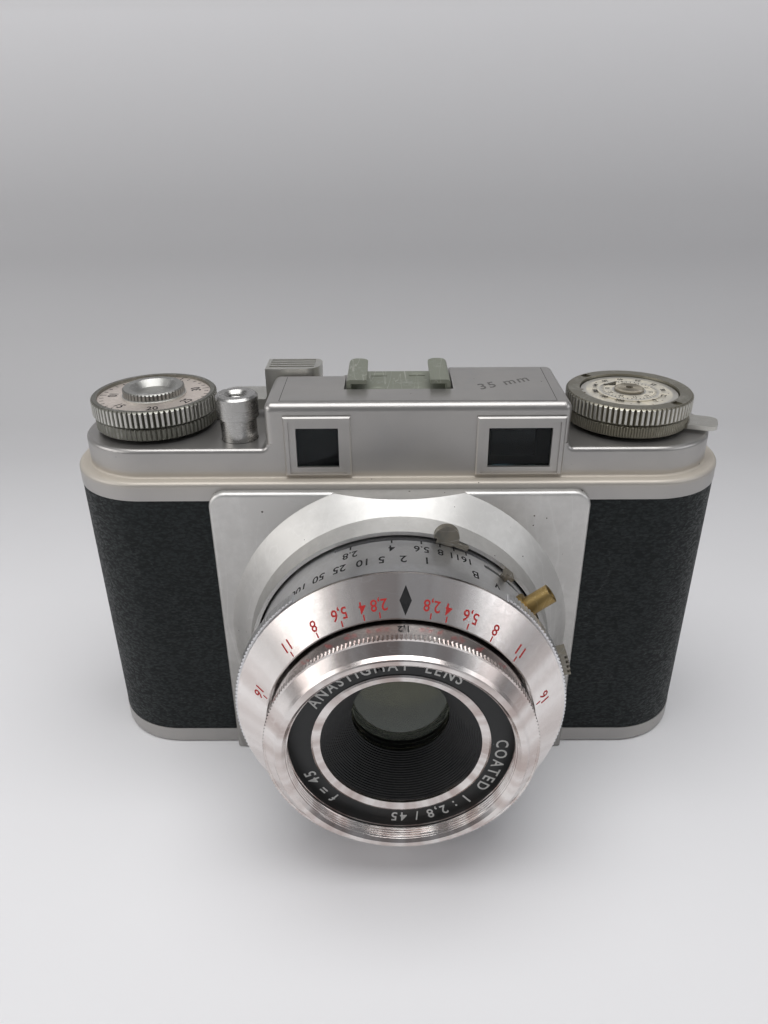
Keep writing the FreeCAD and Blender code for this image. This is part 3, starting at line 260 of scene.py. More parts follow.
def new_group(name, inputs, *outputs):
    """A node group with named inputs, numbers or vectors as their defaults are, and named number outputs."""
    tree = bpy.data.node_groups.new(name, "ShaderNodeTree")
    for label, default in inputs.items():
        kind = "NodeSocketVector" if isinstance(default, tuple) else "NodeSocketFloat"
        tree.interface.new_socket(label, in_out="INPUT", socket_type=kind).default_value = default
    for label in outputs:
        tree.interface.new_socket(label, in_out="OUTPUT", socket_type="NodeSocketFloat")
    return tree, tree.nodes.new("NodeGroupInput").outputs, tree.nodes.new("NodeGroupOutput").inputs


def fill(tree, group, values):
    """Places a node group, fills its named inputs and gives its outputs."""
    return add(tree, "Group", values, node_tree=group).outputs


def paint(material, *names):
    """Puts a material in every slot of the named parts."""
    for name in names:
        mesh = nodes[name].data
        mesh.materials.clear()
        mesh.materials.append(material)
    print(material.name, "on", ", ".join(names))


print("helpers ready")


# %% [markdown]
# ## Effects that several finishes share
# Each effect is a node group: a small machine with named inputs and outputs. The first ones answer "where on the
# part am I", in millimetres, because wear and dirt gather in known places: in the valleys of a knurl, on a ledge,
# round a screw. The others make the patterns themselves.

# %% Round parts
def round_place(name, along, first, second):
    """Radius, depth and turn about a line parallel to one axis; the radius is the root of the summed squares."""
    tree, given, result = new_group(name, {"Centre": (0, 0, 0)}, "Radius", "Depth", "Turn")
    in_mm = vector(tree, "MULTIPLY", object_place(tree), (1000, 1000, 1000))
    part = add(tree, "SeparateXYZ", {0: vector(tree, "SUBTRACT", in_mm, given["Centre"])}).outputs
    squares = [times(tree, part[axis], part[axis]) for axis in (first, second)]
    tree.links.new(calc(tree, "SQRT", calc(tree, "ADD", *squares)), result["Radius"])
    tree.links.new(part[along], result["Depth"])
    tree.links.new(calc(tree, "ARCTAN2", part[first], part[second]), result["Turn"])
    return tree


ABOUT_LENS = round_place("place about the lens axis", "Y", "X", "Z")
ABOUT_KNOB = round_place("place about an upright axis", "Z", "X", "Y")
print("groups:", ABOUT_LENS.name, "and", ABOUT_KNOB.name)


# %% Patterns
def grime_group():
    """Uneven dirt: a coarse cloud decides where it lies and a fine cloud breaks it up."""
    tree, given, result = new_group("grime", {"Size": 6.0, "Cover": 0.5}, "Mask")
    place = object_place(tree)
    scale = calc(tree, "DIVIDE", 1000.0, given["Size"])
    coarse = add(tree, "TexNoise", {"Vector": place, "Scale": scale, "Detail": 5.0, "Roughness": 0.65})
    fine_scale = times(tree, scale, 7.0)
    fine = add(tree, "TexNoise", {"Vector": place, "Scale": fine_scale, "Detail": 3.0, "Roughness": 0.7})
    both = times(tree, fine.outputs[0], 0.45, times(tree, coarse.outputs[0], 0.7))
    edge = calc(tree, "SUBTRACT", 1.02, given["Cover"])
    lifted = times(tree, calc(tree, "SUBTRACT", both, edge), 5.0)
    tree.links.new(add(tree, "Clamp", {0: calc(tree, "ADD", lifted, 0.5)}).outputs[0], result["Mask"])
    return tree


def specks_group():
    """Small dark pits: cells whose middles are nearer than a random, mostly tiny, radius."""
    tree, given, result = new_group("specks", {"Spacing": 3.0, "Size": 0.08}, "Mask")
    place = object_place(tree)
    scale = calc(tree, "DIVIDE", 1000.0, given["Spacing"])
    cells = add(tree, "TexVoronoi", {"Vector": place, "Scale": scale})
    luck = add(tree, "SeparateColor", {0: cells.outputs["Color"]}).outputs[0]
    reach = times(tree, given["Size"], calc(tree, "POWER", luck, 3.0))
    tree.links.new(calc(tree, "LESS_THAN", cells.outputs["Distance"], reach), result["Mask"])
    return tree


def scratches_group():
    """Hairlines: thin bands of a cloud stretched along one direction, which differs from place to place."""
    tree, given, result = new_group("scratches", {"Stretch": (1, 1, 12), "Size": 8.0}, "Mask")
    stretched = vector(tree, "MULTIPLY", object_place(tree), given["Stretch"])
    scale = calc(tree, "DIVIDE", 1000.0, given["Size"])
    cloud = add(tree, "TexNoise", {"Vector": stretched, "Scale": scale, "Detail": 2.0, "Distortion": 0.6})
    band = calc(tree, "ABSOLUTE", calc(tree, "SUBTRACT", cloud.outputs[0], 0.5))
    tree.links.new(ramp(tree, band, (0.0, 1.0), (0.004, 0.4), (0.012, 0.0)), result["Mask"])
    return tree


def leather_group():
    """Calf grain: rounded cells, wider than tall, bent by a cloud, with finer wrinkles running across them."""
    tree, given, result = new_group("calf grain", {"Cell": 0.8}, "Height", "Crease")
    wide = vector(tree, "MULTIPLY", object_place(tree), (0.5, 0.5, 1.0))
    scale = calc(tree, "DIVIDE", 1000.0, given["Cell"])
    cloud = add(tree, "TexNoise", {"Vector": wide, "Scale": times(tree, scale, 0.6), "Detail": 4.0})
    moved = vector(tree, "ADD", wide, vector(tree, "MULTIPLY", cloud.outputs["Color"], (0.0014, 0.0014, 0.0014)))
    cells = add(tree, "TexVoronoi", {"Vector": moved, "Scale": scale, "Smoothness": 0.35}, feature="SMOOTH_F1")
    wrinkle = add(tree, "TexNoise", {"Vector": moved, "Scale": times(tree, scale, 1.7), "Detail": 5.0,
                                     "Roughness": 0.6})
    domes = calc(tree, "SUBTRACT", 1.0, cells.outputs["Distance"])
    height = times(tree, wrinkle.outputs[0], 0.8, domes)
    tree.links.new(height, result["Height"])
    tree.links.new(ramp(tree, times(tree, height, 0.7), (0.52, 1.0), (0.8, 0.0)), result["Crease"])
    return tree


def turned_group():
    """Lathe lines: a one-way cloud read along a distance, so each distance has one height all the way round."""
    tree, given, result = new_group("lathe lines", {"Distance": 0.0, "Per mm": 9.0}, "Height")
    steps = times(tree, given["Distance"], given["Per mm"])
    lines = add(tree, "TexNoise", {"W": steps, "Scale": 1.0, "Detail": 2.0}, noise_dimensions="1D")
    tree.links.new(lines.outputs[0], result["Height"])
    return tree


GRIME, SPECKS, SCRATCHES = grime_group(), specks_group(), scratches_group()
CALF, LATHE = leather_group(), turned_group()
print("five pattern groups")


def grime(tree, size, cover):
    return fill(tree, GRIME, {"Size": size, "Cover": cover})[0]


def specks(tree, spacing, size):
    return fill(tree, SPECKS, {"Spacing": spacing, "Size": size})[0]


def scratches(tree, stretch, size):
    return fill(tree, SCRATCHES, {"Stretch": stretch, "Size": size})[0]


# %% [markdown]
# ## Satin plate on the covers
# The covers are brass pressings, blasted with fine grit and then plated, so they shine softly with no clear image.
# Handling polishes the rounded edges bright, and a tan film settles on the ledge and the deck where fingers do
# not reach. The finish is a rough mirror whose colour and roughness both follow the dirt.

# %% Cover finish
def bump(tree, height, depth_mm, strength=1.0, normal=None):
    """Turns a height map into a normal; depth_mm is how far white stands above black."""
    node = add(tree, "Bump", {"Height": height, "Distance": depth_mm * MM, "Strength": strength})
    if normal is not None:
        tree.links.new(normal, node.inputs["Normal"])
    return node.outputs[0]


def cloud(tree, size_mm, detail=3.0):
    """A soft cloud whose lumps are about size_mm across."""
    place = object_place(tree)
    return add(tree, "TexNoise", {"Vector": place, "Scale": 1000 / size_mm, "Detail": detail}).outputs[0]


def object_part(tree, axis):
    """One object coordinate, in millimetres."""
    place = object_place(tree)
    return times(tree, add(tree, "SeparateXYZ", {0: place}).outputs[axis], 1000.0)


def join(shader, **sockets):
    for key, value in sockets.items():
        shader.id_data.links.new(value, shader.inputs[key.replace("_", " ")])


LEDGE_Z = high("top_cover")[2] - 14.8


def satin_cover():
    """Plated and blasted: fine sparkle, tan grime on flat tops near the ledge, and a few dark pits."""
    material, tree, shader = new_material("satin_cover", IOR=1.5)
    off_ledge = calc(tree, "ABSOLUTE", calc(tree, "SUBTRACT", object_part(tree, "Z"), LEDGE_Z))
    near_ledge = ramp(tree, calc(tree, "DIVIDE", off_ledge, 4.0), (0.0, 0.42), (0.12, 0.30), (0.35, 0.06), (1.0, 0.0))
    film = times(tree, near_ledge, 1.3, times(tree, grime(tree, 9.0, 0.62), 0.16))
    clean = blend(tree, ramp(tree, cloud(tree, 14.0), (0.35, 0.0), (0.65, 1.0)),
                  (0.35, 0.35, 0.357, 1), (0.395, 0.393, 0.392, 1))
    dirty = blend(tree, film, clean, (0.62, 0.55, 0.45, 1))
    join(shader, Base_Color=blend(tree, specks(tree, 2.6, 0.075), dirty, (0.05, 0.045, 0.04, 1)),
         Metallic=calc(tree, "SUBTRACT", 1.0, film),
         Roughness=times(tree, film, 0.3, times(tree, cloud(tree, 3.0), 0.1, 0.25)),
         Normal=bump(tree, cloud(tree, 0.28, 2.0), 0.012, 0.55))
    return material


paint(satin_cover(), "top_cover", "bottom_cover", "window_frames")

# %% [markdown]
# ## The blasted front plate
# The plate round the lens has a coarser, whiter blast than the covers, and sheds no clear reflection at all. Specks
# of corrosion break through beside its edges.

# %% Front plate finish
def blasted_plate():
    """Frosty metal with speckled corrosion and a little stain, with shade painted darker towards the base."""
    material, tree, shader = new_material("blasted_plate", Metallic=0.9)
    pits = specks(tree, 2.2, 0.11)
    stain = grime(tree, 16.0, 0.5)
    # Painted shade: the colour darkens steadily towards the bottom of the plate, on top of the real stain.
    painted_base_shade = ramp(tree, calc(tree, "DIVIDE", object_part(tree, "Z"), 64.0), (0.0, 1.0), (1.0, 0.0))
    stain_and_painted_shade = times(tree, stain, 0.2, painted_base_shade)
    tone = blend(tree, stain_and_painted_shade, (0.70, 0.69, 0.67, 1), (0.35, 0.34, 0.325, 1))
    hairs = scratches(tree, (1.0, 1.0, 0.12), 6.0)
    tone = blend(tree, times(tree, hairs, 0.15), tone, (0.86, 0.86, 0.85, 1))
    join(shader, Base_Color=blend(tree, pits, tone, (0.08, 0.07, 0.06, 1)),
         Roughness=times(tree, cloud(tree, 5.0), 0.1, 0.42),
         Normal=bump(tree, cloud(tree, 0.22, 2.0), 0.015, 0.6))
    return material


paint(blasted_plate(), "front_plate")

# %% [markdown]
# ## Turned and polished lens rings
# A ring finished on a lathe keeps thousands of grooves too fine to see. They smear each reflection along the ring's
# slope, which is why a lamp shows as a fan of bright and dark wedges. The shader's anisotropy does this, once it
# knows which way the grooves run: at right angles to both the lens axis and the line out from it.

# %% Turned metal
def groove_direction(tree, centre, axis):
    """The direction of the lathe grooves: the axis crossed with the line from the centre to the point."""
    out = vector(tree, "SUBTRACT", object_place(tree), tuple(c * MM for c in centre))
    across = vector(tree, "NORMALIZE", vector(tree, "CROSS_PRODUCT", out, axis))
    return add(tree, "VectorTransform", {0: across}, vector_type="VECTOR", convert_from="OBJECT",
               convert_to="WORLD").outputs[0]


def lathe_lines(tree, where, per_mm):
    """Lines counted along a part's profile, by the sum of each point's radius and depth."""
    travel = calc(tree, "ADD", where["Radius"], where["Depth"])
    return fill(tree, LATHE, {"Distance": travel, "Per mm": per_mm})[0]


def turned_metal(name, colour, rough, streak, dirt=0.12, per_mm=7.0, fan=0.0):
    """Polished metal with lathe lines about the lens axis, broken tarnish, and a fan of darker pinkish wedges painted
    round it as reflections.
    """
    material, tree, shader = new_material(name, Metallic=1.0, Anisotropic=streak)
    where = fill(tree, ABOUT_LENS, {"Centre": tuple(LENS)})
    lines = lathe_lines(tree, where, per_mm)
    tarnish = times(tree, grime(tree, 7.0, 0.5), dirt)
    hairs = scratches(tree, (0.3, 1.0, 1.0), 4.0)
    # Painted reflection: dark pinkish wedges round the ring, as strong as the fan, stand in for reflected
    # surroundings.
    wedges = add(tree, "TexNoise", {"W": where["Turn"], "Scale": 3.4, "Detail": 2.0},
                 noise_dimensions="1D").outputs[0]
    painted_reflection = times(tree, ramp(tree, wedges, (0.38, 1.0), (0.60, 0.0)), fan)
    tone = blend(tree, tarnish, colour, (0.30, 0.27, 0.22, 1))
    tone = blend(tree, painted_reflection, tone, (0.40, 0.30, 0.27, 1))
    join(shader, Base_Color=blend(tree, times(tree, hairs, 0.25), tone, (0.9, 0.9, 0.9, 1)),
         Roughness=times(tree, tarnish, 0.35, times(tree, lines, 0.08, rough)),
         Normal=bump(tree, lines, 0.0025, 0.8), Tangent=groove_direction(tree, LENS, (0, 1, 0)))
    return material


paint(turned_metal("polished_scale", (0.90, 0.86, 0.84, 1), 0.17, 0.75, 0.1, 7.0, 0.38), "depth_scale_ring")
paint(turned_metal("polished_focus", (0.83, 0.79, 0.77, 1), 0.12, 0.6, 0.1, 7.0, 0.65),
      "focus_ring", "front_retainer")
paint(turned_metal("satin_barrel", (0.86, 0.865, 0.885, 1), 0.30, 0.4, 0.15, 4.0), "shutter_housing", "speed_ring")
paint(turned_metal("lever_steel", (0.22, 0.218, 0.20, 1), 0.28, 0.0, 0.7),
      "aperture_ring", "sync_lever", "timer_lever")

# %% [markdown]
# ## Knurled knobs
# The teeth of a knurl are worn bright on top while dirt and green corrosion fill the valleys. How far a point is
# from the knob's axis says which of the two it is, so one radius makes the whole mask.

# %% Knob finish
def knurled_metal(name, centre, tip_r, valley_r, tint=(0.38, 0.375, 0.34, 1), dirt=(0.075, 0.075, 0.055, 1)):
    """Worn nickel: bright at the tip radius, dark and greenish at the valley radius, cloudy between."""
    material, tree, shader = new_material(name, Metallic=1.0)
    where = fill(tree, ABOUT_KNOB, {"Centre": tuple(centre)})
    depth = calc(tree, "DIVIDE", calc(tree, "SUBTRACT", tip_r, where["Radius"]), tip_r - valley_r)
    valley = ramp(tree, depth, (0.1, 0.0), (0.75, 0.85), (1.3, 0.9), (1.7, 0.15))
    patchy = grime(tree, 4.0, 0.56)
    film = calc(tree, "MAXIMUM", times(tree, valley, 0.75), times(tree, patchy, 0.45))
    worn = ramp(tree, depth, (0.0, 1.0), (0.25, 0.0))
    tone = blend(tree, film, tint, dirt)
    join(shader, Base_Color=blend(tree, times(tree, worn, 0.6), tone, (0.78, 0.77, 0.73, 1)),
         Roughness=times(tree, film, 0.35, 0.24), Normal=bump(tree, cloud(tree, 0.5), 0.03, 0.5))
    return material


KNOB_R = half_width("counter_knob")
HUB_R = half_width("counter_hub")
TOOTH = 0.42
paint(knurled_metal("counter_nickel", COUNTER, KNOB_R, KNOB_R - TOOTH), "counter_knob", "wind_lever")
rewind_nickel = knurled_metal("rewind_nickel", FILM_DIAL, KNOB_R, KNOB_R - TOOTH, (0.44, 0.425, 0.365, 1),
                              (0.12, 0.105, 0.07, 1))
paint(rewind_nickel, "rewind_knob", "rewind_release")
paint(knurled_metal("hub_nickel", COUNTER, HUB_R - 0.1, HUB_R - 0.5, (0.66, 0.655, 0.64, 1)), "counter_hub")

# %% [markdown]
# ## Bright fittings, dials and the shoe
# The release button and the little rings are turned about upright axes. The frame counter's dial is bare brass
# etched to a pinkish grey, and the film reminder is a thin printed disc whose silver rings have worn through.

# %% Release, dials and shoe
def upright_turned(name, centre, colour, rough, dirt=0.2, per_mm=6.0, streak=0.5):
    """Turned metal about an upright axis, with tarnish in patches."""
    material, tree, shader = new_material(name, Metallic=1.0, Anisotropic=streak)
    where = fill(tree, ABOUT_KNOB, {"Centre": tuple(centre)})
    lines = lathe_lines(tree, where, per_mm)
    tarnish = times(tree, grime(tree, 3.5, 0.55), dirt)
    join(shader, Base_Color=blend(tree, tarnish, colour, (0.26, 0.23, 0.18, 1)),
         Roughness=times(tree, tarnish, 0.4, times(tree, lines, 0.08, rough)),
         Normal=bump(tree, lines, 0.0012, 0.8), Tangent=groove_direction(tree, centre, (0, 0, 1)))
    return material


def film_disc():
    """A printed disc: cream paper colour between worn silver rings, read off the radius."""
    material, tree, shader = new_material("film_disc")
    radius = fill(tree, ABOUT_KNOB, {"Centre": tuple(FILM_DIAL)})["Radius"]
    outer = high("film_dial")[0] - FILM_DIAL[0]
    share = calc(tree, "DIVIDE", radius, outer)
    silver = ramp(tree, share, (0.34, 1.0), (0.37, 0.0), (0.55, 0.0), (0.57, 0.8), (0.61, 0.8), (0.63, 0.0),
                  (0.86, 0.1), (0.9, 0.9))
    worn = grime(tree, 3.0, 0.5)
    metal = calc(tree, "MAXIMUM", silver, times(tree, worn, 0.6))
    tone = blend(tree, metal, (0.66, 0.60, 0.47, 1), (0.58, 0.57, 0.54, 1))
    rust = specks(tree, 1.3, 0.25)
    join(shader, Base_Color=blend(tree, rust, tone, (0.16, 0.12, 0.08, 1)), Metallic=metal,
         Roughness=times(tree, worn, 0.2, 0.3), Normal=bump(tree, cloud(tree, 0.7), 0.02, 0.6))
    return material


RELEASE = middle("release_button")
paint(upright_turned("release_chrome", RELEASE, (0.48, 0.48, 0.475, 1), 0.16, 0.2, 2.0), "release_button")
paint(upright_turned("etched_dial", COUNTER, (0.80, 0.73, 0.69, 1), 0.45, 0.3, 3.0, 0.2), "counter_dial")
paint(film_disc(), "film_dial")
paint(upright_turned("shaft_steel", COUNTER, (0.5, 0.5, 0.48, 1), 0.25, 0.4), "wind_shaft", "sprocket")
paint(upright_turned("rewind_steel", FILM_DIAL, (0.56, 0.53, 0.47, 1), 0.3, 0.8), "rewind_shaft", "hinge_pin")


def shoe_nickel():
    """Nickel rubbed by flash feet: streaks run front to back, and the plating is greenish where it is thin."""
    material, tree, shader = new_material("shoe_nickel", Metallic=1.0)
    streaks = scratches(tree, (1.0, 0.08, 1.0), 2.5)
    patch = grime(tree, 5.0, 0.6)
    tone = blend(tree, times(tree, patch, 0.6), (0.50, 0.52, 0.46, 1), (0.25, 0.265, 0.20, 1))
    join(shader, Base_Color=blend(tree, times(tree, streaks, 0.6), tone, (0.75, 0.75, 0.7, 1)),
         Roughness=times(tree, patch, 0.25, 0.27), Normal=bump(tree, streaks, 0.01, 0.4))
    return material


paint(shoe_nickel(), "accessory_shoe", "shoe_screws", "bottom_screws", "tripod_bush", "pressure_spring",
      "release_spring")

# %% [markdown]
# ## Leather covering
# The body is wrapped in thin calf, dyed almost black with a green cast. Its grain is pressed in rows of flat cells
# with wrinkles between them. Creases hold wax and look darker and rougher; the domes between are rubbed smooth.

# %% Leather finish
def calf_leather():
    """Grain height drives the bump, and its crease mask drives colour and roughness."""
    material, tree, shader = new_material("calf_leather", Specular_IOR_Level=0.29)
    grain = fill(tree, CALF, {"Cell": 0.5})
    rubbed = grime(tree, 22.0, 0.5)
    dome = blend(tree, rubbed, (0.006, 0.0105, 0.011, 1), (0.009, 0.0145, 0.015, 1))
    hairs = scratches(tree, (1.0, 1.0, 0.7), 14.0)
    dome = blend(tree, times(tree, hairs, 0.12), dome, (0.12, 0.13, 0.13, 1))
    join(shader, Base_Color=blend(tree, grain["Crease"], dome, (0.004, 0.006, 0.0065, 1)),
         Roughness=times(tree, grain["Crease"], 0.25,
                             times(tree, rubbed, -0.06, 0.48)),
         Normal=bump(tree, grain["Height"], 0.07, 0.9))
    return material


paint(calf_leather(), "leather_left", "leather_right", "back_leather")

# %% [markdown]
# ## Black parts
# Everything near the film and the light path is matt black: paint on the casting and the door, anodising inside the
# lens, and gloss enamel on the ring that carries the lens's name. Black still varies: dust greys it and edges shine.

# %% Black finishes
def black_finish(name, colour, rough, lump_mm, depth_mm, dust=0.1, metallic=0.0, coat=0.0):
    """Black with a fine lumpy surface and a little grey dust."""
    material, tree, shader = new_material(name, Metallic=metallic, Coat_Weight=coat)
    grey = times(tree, grime(tree, 5.0, 0.5), dust)
    motes = specks(tree, 1.6, 0.07)
    tone = blend(tree, grey, colour, (0.22, 0.21, 0.2, 1))
    join(shader, Base_Color=blend(tree, times(tree, motes, 0.5), tone, (0.3, 0.3, 0.29, 1)),
         Roughness=times(tree, grey, 0.8, times(tree, cloud(tree, 2.0), 0.1, rough)),
         Normal=bump(tree, cloud(tree, lump_mm), depth_mm, 0.5))
    return material


paint(black_finish("crackle_black", (0.018, 0.018, 0.019, 1), 0.5, 0.6, 0.05), "body_casting", "back_door")
paint(black_finish("film_black", (0.02, 0.02, 0.021, 1), 0.3, 1.2, 0.01, 0.05), "pressure_plate", "take_up_spool")
paint(black_finish("anodised_black", (0.012, 0.013, 0.014, 1), 0.36, 0.4, 0.01, 0.06, 0.4),
      "front_cell", "lens_socket", "rear_cell")
paint(black_finish("name_enamel", (0.004, 0.0055, 0.006, 1), 0.34, 3.0, 0.01, 0.012), "name_ring")
blades = [name for name in nodes if "blade" in name]
paint(black_finish("blued_blades", (0.006, 0.0062, 0.0052, 1), 0.42, 4.0, 0.004, 0.01, 0.2), *blades)

# %% [markdown]
# ## Brass
# The flash socket, the focusing sleeve and the rewind washer are bare brass, brown where they have tarnished.

# %% Brass finish
def aged_brass():
    """Yellow metal with brown tarnish in soft patches."""
    material, tree, shader = new_material("aged_brass", Metallic=1.0)
    tarnish = grime(tree, 3.0, 0.6)
    hairs = scratches(tree, (1.0, 1.0, 0.2), 2.0)
    tone = blend(tree, times(tree, tarnish, 0.7), (0.62, 0.47, 0.20, 1), (0.20, 0.13, 0.05, 1))
    join(shader, Base_Color=blend(tree, times(tree, hairs, 0.4), tone, (0.85, 0.74, 0.45, 1)),
         Roughness=times(tree, tarnish, 0.25, 0.24), Normal=bump(tree, cloud(tree, 0.8), 0.01, 0.5))
    return material


paint(aged_brass(), "flash_socket", "focus_follower", "rewind_washer")
# The eyepiece faces backwards, so lines about the counter's upright axis cross it as a plain brushed finish would.
paint(upright_turned("eyepiece_chrome", COUNTER, (0.66, 0.655, 0.64, 1), 0.2, 0.3, 4.0, 0.0), "eyepiece_ring")

# %% [markdown]
# ## Glass
# Old lenses carry one thin coating that turns their reflections amber and violet; the shader's thin film does the
# same. The finder windows are plain glass in front of dark prisms, with a little dust.

# %% Glass finishes
def glass(name, tint, ior=1.5, dust=0.05, rough=0.0, film_nm=0.0):
    """Clear tinted glass; dust lies on it as a faint haze, and film_nm is the coating's thickness."""
    material, tree, shader = new_material(name, Transmission_Weight=1.0, IOR=ior, Thin_Film_Thickness=film_nm,
                                          Thin_Film_IOR=1.38)
    haze = grime(tree, 6.0, 0.45)
    motes = specks(tree, 1.4, 0.05)
    join(shader, Base_Color=blend(tree, times(tree, motes, 0.5), tint, (0.3, 0.3, 0.28, 1)),
         Roughness=times(tree, haze, dust, rough))
    return material


COATED = glass("coated_glass", (0.66, 0.64, 0.50, 1), 1.24, 0.01, 0.0, 110.0)
paint(COATED, "rear_glass")
paint(glass("window_glass", (0.60, 0.66, 0.68, 1), 1.22, 0.03), "finder_windows", "eyepiece_glass")
paint(glass("prism_glass", (0.10, 0.14, 0.16, 1), 1.3, 0.1, 0.05), "rangefinder_prisms")

# %% [markdown]
# The two front elements are ground and polished true, and light bends through both, so every flat of a coarse mesh
# would show. They are made again here as smooth surfaces: each face is a shallow dome whose height falls with the
# square of the distance from the axis, and the two are joined by a short straight edge.

# %% Lens elements
def about_lens(radius, angle, y):
    """Points at a radius and a clock angle in radians about the lens axis, at a depth y."""
    return np.stack(np.broadcast_arrays(LENS[0] + radius * np.sin(angle), y, LENS[2] + radius * np.cos(angle)), -1)


def lens_element(name, back_bulge, front_bulge, body):
    """A lens on the axis: a dome at each end, made of rings and closed by a fan at its pole, with a plain edge."""
    node_low, node_high = low(name), high(name)
    edge_r = (node_high - node_low)[0] / 2
    back_y, front_y = node_high[1] - max(back_bulge, 0.0), node_low[1] + max(front_bulge, 0.0)
    share = np.concatenate([np.linspace(0.04, 0.98, 30), [0.995, 1.0]])
    rings = [(edge_r * share, back_y + back_bulge * (1 - share**2)),
             (edge_r * share[::-1], front_y - front_bulge * (1 - share[::-1]**2))]
    radius, depth = (np.concatenate(part) for part in zip(*rings))
    turn = np.linspace(0, 2 * math.pi, 97)[:-1]
    points = about_lens(radius[:, None], turn, depth[:, None]).reshape(-1, 3)
    poles = [(LENS[0], back_y + back_bulge, LENS[2]), (LENS[0], front_y - front_bulge, LENS[2])]
    count, last = len(turn), (len(radius) - 1) * len(turn)
    here = np.arange(count)
    after = (here + 1) % count
    back_fan = np.stack([np.full(count, len(points)), here, after], -1)
    front_fan = np.stack([np.full(count, len(points) + 1), last + after, last + here], -1)
    faces = [*grid_faces(len(radius), count, True)[:, ::-1], *back_fan, *front_fan]
    made = mesh_object("smooth_" + name, np.concatenate([points, poles]), faces)
    made.data.materials.append(COATED)
    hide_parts(name)
    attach(made, body)
    print(made.name, len(faces), "faces")
    return made


lens_element("front_glass", 0.2, 1.5, "focus")
lens_element("middle_glass", -0.5, -0.6, "body")

# %% [markdown]
# The backdrop is one sheet of matt paper with shade painted on it as a slow grey gradient: white where the
# camera stands, darkest in the bend, and grey again up the wall. Depth and height added together give one number
# that grows steadily along the sheet, so a single ramp paints the shade.

# %% Backdrop paper
def paper():
    """Matt paper with painted shade: its grey follows the way along the sheet; its back is clear, so it hides nothing
    from behind.
    """
    material, tree, shader = new_material("backdrop_paper", Specular_IOR_Level=0.25)
    # Painted shade: the grey ramp along the sheet darkens the paper in the bend and up the wall.
    along = calc(tree, "ADD", object_part(tree, "Y"), object_part(tree, "Z"))
    share = calc(tree, "DIVIDE", calc(tree, "ADD", along, 200.0), 800.0)
    grey = ramp(tree, share, (0.19, 1.0), (0.30, 0.90), (0.385, 0.74), (0.475, 0.58), (0.56, 0.57), (0.64, 0.61),
                (0.73, 0.84), (0.79, 0.40), (0.92, 0.22))
    fibre = blend(tree, cloud(tree, 160.0), (0.775, 0.77, 0.782, 1), (0.80, 0.795, 0.807, 1))
    tone = blend(tree, grey, (0.0, 0.0, 0.0, 1), fibre)
    behind = add(tree, "NewGeometry").outputs["Backfacing"]
    tree.links.new(calc(tree, "SUBTRACT", 1.0, behind), shader.inputs["Alpha"])
    join(shader, Base_Color=tone, Roughness=times(tree, cloud(tree, 40.0), 0.1, 0.5))
    return material


def plain_paper():
    """The same stock without the gradient, for the table that the sheet lies on."""
    material, tree, shader = new_material("table_paper", Specular_IOR_Level=0.25)
    tone = blend(tree, cloud(tree, 160.0), (0.74, 0.735, 0.745, 1), (0.77, 0.765, 0.775, 1))
    join(shader, Base_Color=tone, Roughness=times(tree, cloud(tree, 40.0), 0.1, 0.5))
    return material


backdrop.data.materials.append(paper())
floor.data.materials.append(plain_paper())

# %% [markdown]
# ## Scales and numerals
# Numerals on a ring are rolled or engraved round it and filled with paint. Each is made flat as text, turned into a
# mesh, and laid on its surface by a rule that takes three lengths, along the line, up the letter and out of the
# surface, to a point in space. The same rule lays the tick marks, so marks and numerals share one surface.

# %% Flat letters
NARROW = 0.86


def letter_mesh(text, height, spacing=1.0, slant=0.0):
    """Corners and faces of a line of text, centred, height mm tall and 1 mm thick before it is laid on a surface."""
    curve = bpy.data.curves.new("letters", "FONT")
    curve.body, curve.align_x, curve.align_y = text, "CENTER", "CENTER"
    curve.size, curve.extrude, curve.resolution_u = height / 0.70, 0.5, 3
    curve.offset, curve.space_character, curve.shear = 0.016 * height, spacing, slant
    holder = bpy.data.objects.new("letters", curve)
    mesh = bpy.data.meshes.new_from_object(holder)
    corners = np.empty(len(mesh.vertices) * 3)
    mesh.vertices.foreach_get("co", corners)
    corners, number = np.unique(np.round(corners.reshape(-1, 3), 5), axis=0, return_inverse=True)
    corners[:, 0] *= NARROW
    faces = [tuple(number.ravel()[list(p.vertices)]) for p in mesh.polygons]
    bpy.data.objects.remove(holder)
    bpy.data.meshes.remove(mesh)
    return corners, [face for face in faces if len(set(face)) == len(face)]


def bar_mesh(width, length, columns=2):
    """A flat bar in the same form as letter_mesh: its square section, repeated at evenly spaced places along it."""
    section = np.array([(-1, -1), (1, -1), (1, 1), (-1, 1)]) * (length / 2, 0.5)
    along = np.repeat(np.linspace(-width / 2, width / 2, columns), len(section))
    corners = np.column_stack([along, np.tile(section, (columns, 1))])
    last = 4 * columns - 4
    return corners, [*grid_faces(columns, 4, True), (3, 2, 1, 0), (last, last + 1, last + 2, last + 3)]


# %% Laying marks on surfaces
INK = 0.04


def on_barrel(radius, angle, depth_y):
    """Reads towards smaller clock angles with its top to the lens front: turns u into an angle, v into depth."""
    def place(u, v, w):
        return about_lens(radius + INK * w, math.radians(angle) - u / radius, depth_y - v)
    return place


def on_cone(back, front, angle, radius):
    """The same reading on a cone between two (y, radius) rims; v runs down the slope to the smaller radius."""
    slope = np.array(front) - np.array(back)
    slope = slope / np.linalg.norm(slope)
    start_y = back[0] + (radius - back[1]) * slope[0] / slope[1]

    def place(u, v, w):
        r = radius + v * slope[1] - INK * w * slope[0]
        y = start_y + v * slope[0] + INK * w * slope[1]
        return about_lens(r, math.radians(angle) - u / (radius + v * slope[1]), y)
    return place


def on_face(y, angle, radius):
    """On a flat ring facing forwards, reading clockwise with its top outwards."""
    def place(u, v, w):
        return about_lens(radius + v, math.radians(angle) + u / radius, y - INK * w)
    return place


